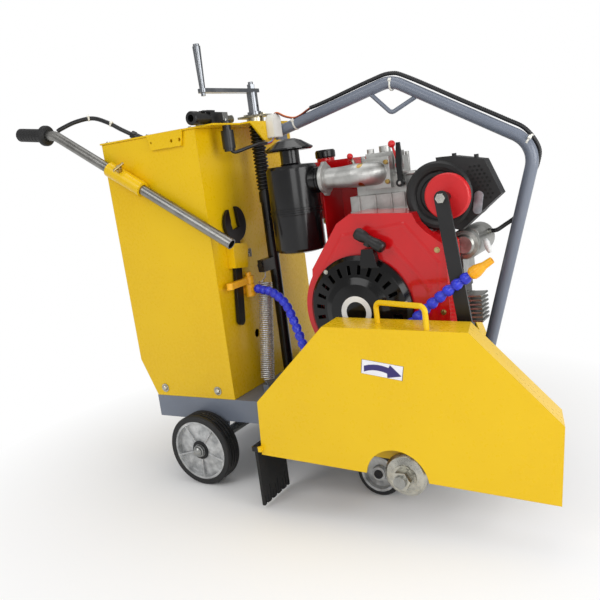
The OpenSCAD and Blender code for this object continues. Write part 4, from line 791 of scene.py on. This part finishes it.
# Fasteners: zinc-plated hexagon screws with washers on the shroud, the recoil cover, the feet and the covers.
# They are cold headed; each sits square on the face it holds down.
def screws(name, seats, head, tall, washer, material):
    """Screws on given seats, each a point and the way its head faces, built as a node tree."""
    points = bpy.data.meshes.new(name + "_seats")
    points.from_pydata([place(*p) for p, _ in seats], [], [])
    facing = points.attributes.new("facing", "FLOAT_VECTOR", "POINT")
    for i, (_, way) in enumerate(seats):
        facing.data[i].vector = Vector(way).normalized()
    tree, into, sizes = sized_tree(name, {"Head": head / 1000.0, "Tall": tall / 1000.0,
                                          "Washer": washer / 1000.0})
    block = add(tree, "GeometryNodeMeshCylinder", {"Vertices": 6},
                {"Radius": into.outputs["Head"], "Depth": into.outputs["Tall"]})
    half = add(tree, "ShaderNodeMath", {1: 0.5, 2: 0.0008}, {0: into.outputs["Tall"]},
               operation="MULTIPLY_ADD")
    rise = add(tree, "ShaderNodeCombineXYZ", links={"Z": half.outputs[0]})
    raised = add(tree, "GeometryNodeTransform", links={"Geometry": block.outputs["Mesh"],
                                                       "Translation": rise.outputs[0]})
    disc = add(tree, "GeometryNodeMeshCylinder", {"Vertices": 20, "Depth": 0.0018},
               {"Radius": into.outputs["Washer"]})
    both = add(tree, "GeometryNodeJoinGeometry")
    tree.links.new(disc.outputs["Mesh"], both.inputs[0])
    tree.links.new(raised.outputs[0], both.inputs[0])
    way = add(tree, "GeometryNodeInputNamedAttribute", {"Name": "facing"}, data_type="FLOAT_VECTOR")
    turned = add(tree, "FunctionNodeAlignRotationToVector", links={"Vector": way.outputs[0]}, axis="Z")
    spread = add(tree, "GeometryNodeInstanceOnPoints",
                 links={"Points": into.outputs["Geometry"], "Instance": both.outputs[0],
                        "Rotation": turned.outputs[0]})
    mesh = grow(name, points, tree, sizes, spread, material)
    return new_piece(mesh, material, "frame", smooth=False)


nearwards, upwards, farwards = (0, -1, 0), (0, 0, 1), (0, 1, 0)
shroud_face, recoil_face, top_face, belt_cover_face = -186, -203.6, 865.3, 219.6
shroud_seats = [((x, shroud_face, z), nearwards)
                for x, z in ((250, 300), (536, 548), (538, 420), (526, 258))]
screws("shroud_screws", shroud_seats, head=4.2, tall=3.6, washer=6.0, material=gold_zinc)
recoil_ring = 111
recoil_turns = [math.radians(128 - 120 * i) for i in range(3)]
recoil_seats = [((357 + recoil_ring * math.cos(a), recoil_face, 428 + recoil_ring * math.sin(a)), nearwards)
                for a in recoil_turns]
screws("recoil_screws", recoil_seats, head=3.6, tall=3.0, washer=5.0, material=zinc_plate)
foot_seats = ([((x, y, 217.5), upwards) for x in (544, 588) for y in (-32, 44)]
              + [((x, y, 235), upwards) for x in (243, 522) for y in (-70, 66)])
screws("foot_bolts", foot_seats, head=8.0, tall=6.0, washer=11.0, material=zinc_plate)
top_seats = [((x, y, top_face), upwards) for x in (-282, -150, -20) for y in (-203, 203)]
screws("top_plate_screws", top_seats, head=4.0, tall=2.6, washer=6.5, material=zinc_plate)
cover_seats = [((x, belt_cover_face, 190), farwards) for x in (368, 497)]
screws("belt_cover_screws", cover_seats, head=5.0, tall=4.0, washer=8.0, material=zinc_plate)

# Hood perforations: rows of punched holes in the silencer's hood, seen as dark round marks.
# They are drawn as shallow dark discs on the face, set in staggered rows.
# Shadow: a flat, dead black without any shine.
hole_dark = finish("punched_hole_shadow",
                   look("#050505", "#020202", 0.8, patch=10, grain=1.0, depth=0.02), edge=0.2)
hood = [(594, 716), (630, 708), (655, 646), (583, 589)]
hood_face, pitch_along, pitch_up = -146.2, 9.0, 7.8
outlet_x, outlet_z, outlet_room, outlet_squeeze = 614.5, 631.5, 16, 0.55
can_x, can_z, can_room = 536, 652, 74
# A hole's centre and each edge of the hood span at least half this area, in square mm.
rim_area = 260


def punched(x, z):
    """True where a hole's centre lies well inside the hood's outline, off the outlet and off the can."""
    edges = zip(hood, hood[1:] + hood[:1])
    inside = all((b[0] - a[0]) * (z - a[1]) - (b[1] - a[1]) * (x - a[0]) < -rim_area for a, b in edges)
    off_outlet = math.hypot(x - outlet_x, (z - outlet_z) * outlet_squeeze) > outlet_room
    return inside and off_outlet and math.hypot(x - can_x, z - can_z) > can_room


grid = [(590 + pitch_along * (i + 0.5 * (k % 2)), 585 + pitch_up * k) for i in range(10) for k in range(18)]
hole_seats = [((x, hood_face, z), nearwards) for x, z in grid if punched(x, z)]
screws("hood_holes", hole_seats, head=2.0, tall=0.2, washer=2.4, material=hole_dark)

# Floor and light: a pale paper floor that fades to white away from the machine.
# Four soft lamps and an even white room light it.
floor_mesh = bpy.data.meshes.new("floor")
floor_mesh.from_pydata([(-12, -12, 0), (12, -12, 0), (12, 12, 0), (-12, 12, 0)], [], [(0, 1, 2, 3)])
floor = bpy.data.objects.new("floor", floor_mesh)
bpy.context.scene.collection.objects.link(floor)
# Studio paper: matt off-white that keeps the machine's shadow close by and turns plain white further out.
floor_paint = bpy.data.materials.new("studio_paper")
floor_paint.use_nodes = True
tree = floor_paint.node_tree
tree.nodes.clear()
where = add(tree, "ShaderNodeTexCoord")
far = add(tree, "ShaderNodeVectorMath", links={0: where.outputs["Object"]}, operation="LENGTH")
fade = add(tree, "ShaderNodeMapRange", {"From Min": 0.3, "From Max": 1.05}, {"Value": far.outputs["Value"]})
paper = add(tree, "ShaderNodeBsdfDiffuse", {"Color": ink("#F4F4F4")})
white = add(tree, "ShaderNodeEmission", {"Color": (1, 1, 1, 1), "Strength": 1.0})
path = add(tree, "ShaderNodeLightPath")
seen = add(tree, "ShaderNodeMath", links={0: path.outputs["Is Camera Ray"], 1: path.outputs["Is Glossy Ray"]},
           operation="MAXIMUM")
share = add(tree, "ShaderNodeMath", links={0: seen.outputs[0], 1: fade.outputs["Result"]},
            operation="MULTIPLY")
mixed = add(tree, "ShaderNodeMixShader",
            links={0: share.outputs[0], 1: paper.outputs[0], 2: white.outputs[0]})
add(tree, "ShaderNodeOutputMaterial", links={"Surface": mixed.outputs[0]})
floor_mesh.materials.append(floor_paint)
world = bpy.data.worlds.new("studio")
bpy.context.scene.world = world
world.use_nodes = True
tree = world.node_tree
tree.nodes.clear()
path = add(tree, "ShaderNodeLightPath")
seen = add(tree, "ShaderNodeMath",
           links={0: path.outputs["Is Camera Ray"], 1: path.outputs["Is Transmission Ray"]},
           operation="MAXIMUM")
level = add(tree, "ShaderNodeMapRange", {"To Min": 0.5, "To Max": 1.0}, {"Value": seen.outputs[0]})
sky = add(tree, "ShaderNodeBackground", {"Color": (1, 1, 1, 1)}, {"Strength": level.outputs["Result"]})
add(tree, "ShaderNodeOutputWorld", links={"Surface": sky.outputs[0]})
for name, at, aim, size, power in (("key", (-0.7, -2.7, 2.3), (0.0, 0.0, 0.5), 1.6, 22.0),
                                   ("fill", (2.8, -0.6, 1.0), (0.0, 0.0, 0.4), 1.6, 36.0),
                                   ("front", (1.3, -1.9, 1.0), (-0.1, 0.0, 0.45), 0.9, 8.0),
                                   ("top", (0.2, 0.4, 3.0), (0.1, 0.0, 0.5), 2.0, 20.0)):
    lamp = bpy.data.lights.new(name, "AREA")
    lamp.size, lamp.energy = size, power
    lamp_at = bpy.data.objects.new(name, lamp)
    bpy.context.scene.collection.objects.link(lamp_at)
    lamp_at.location = at
    lamp_at.rotation_euler = (Vector(aim) - Vector(at)).to_track_quat("-Z", "Y").to_euler()
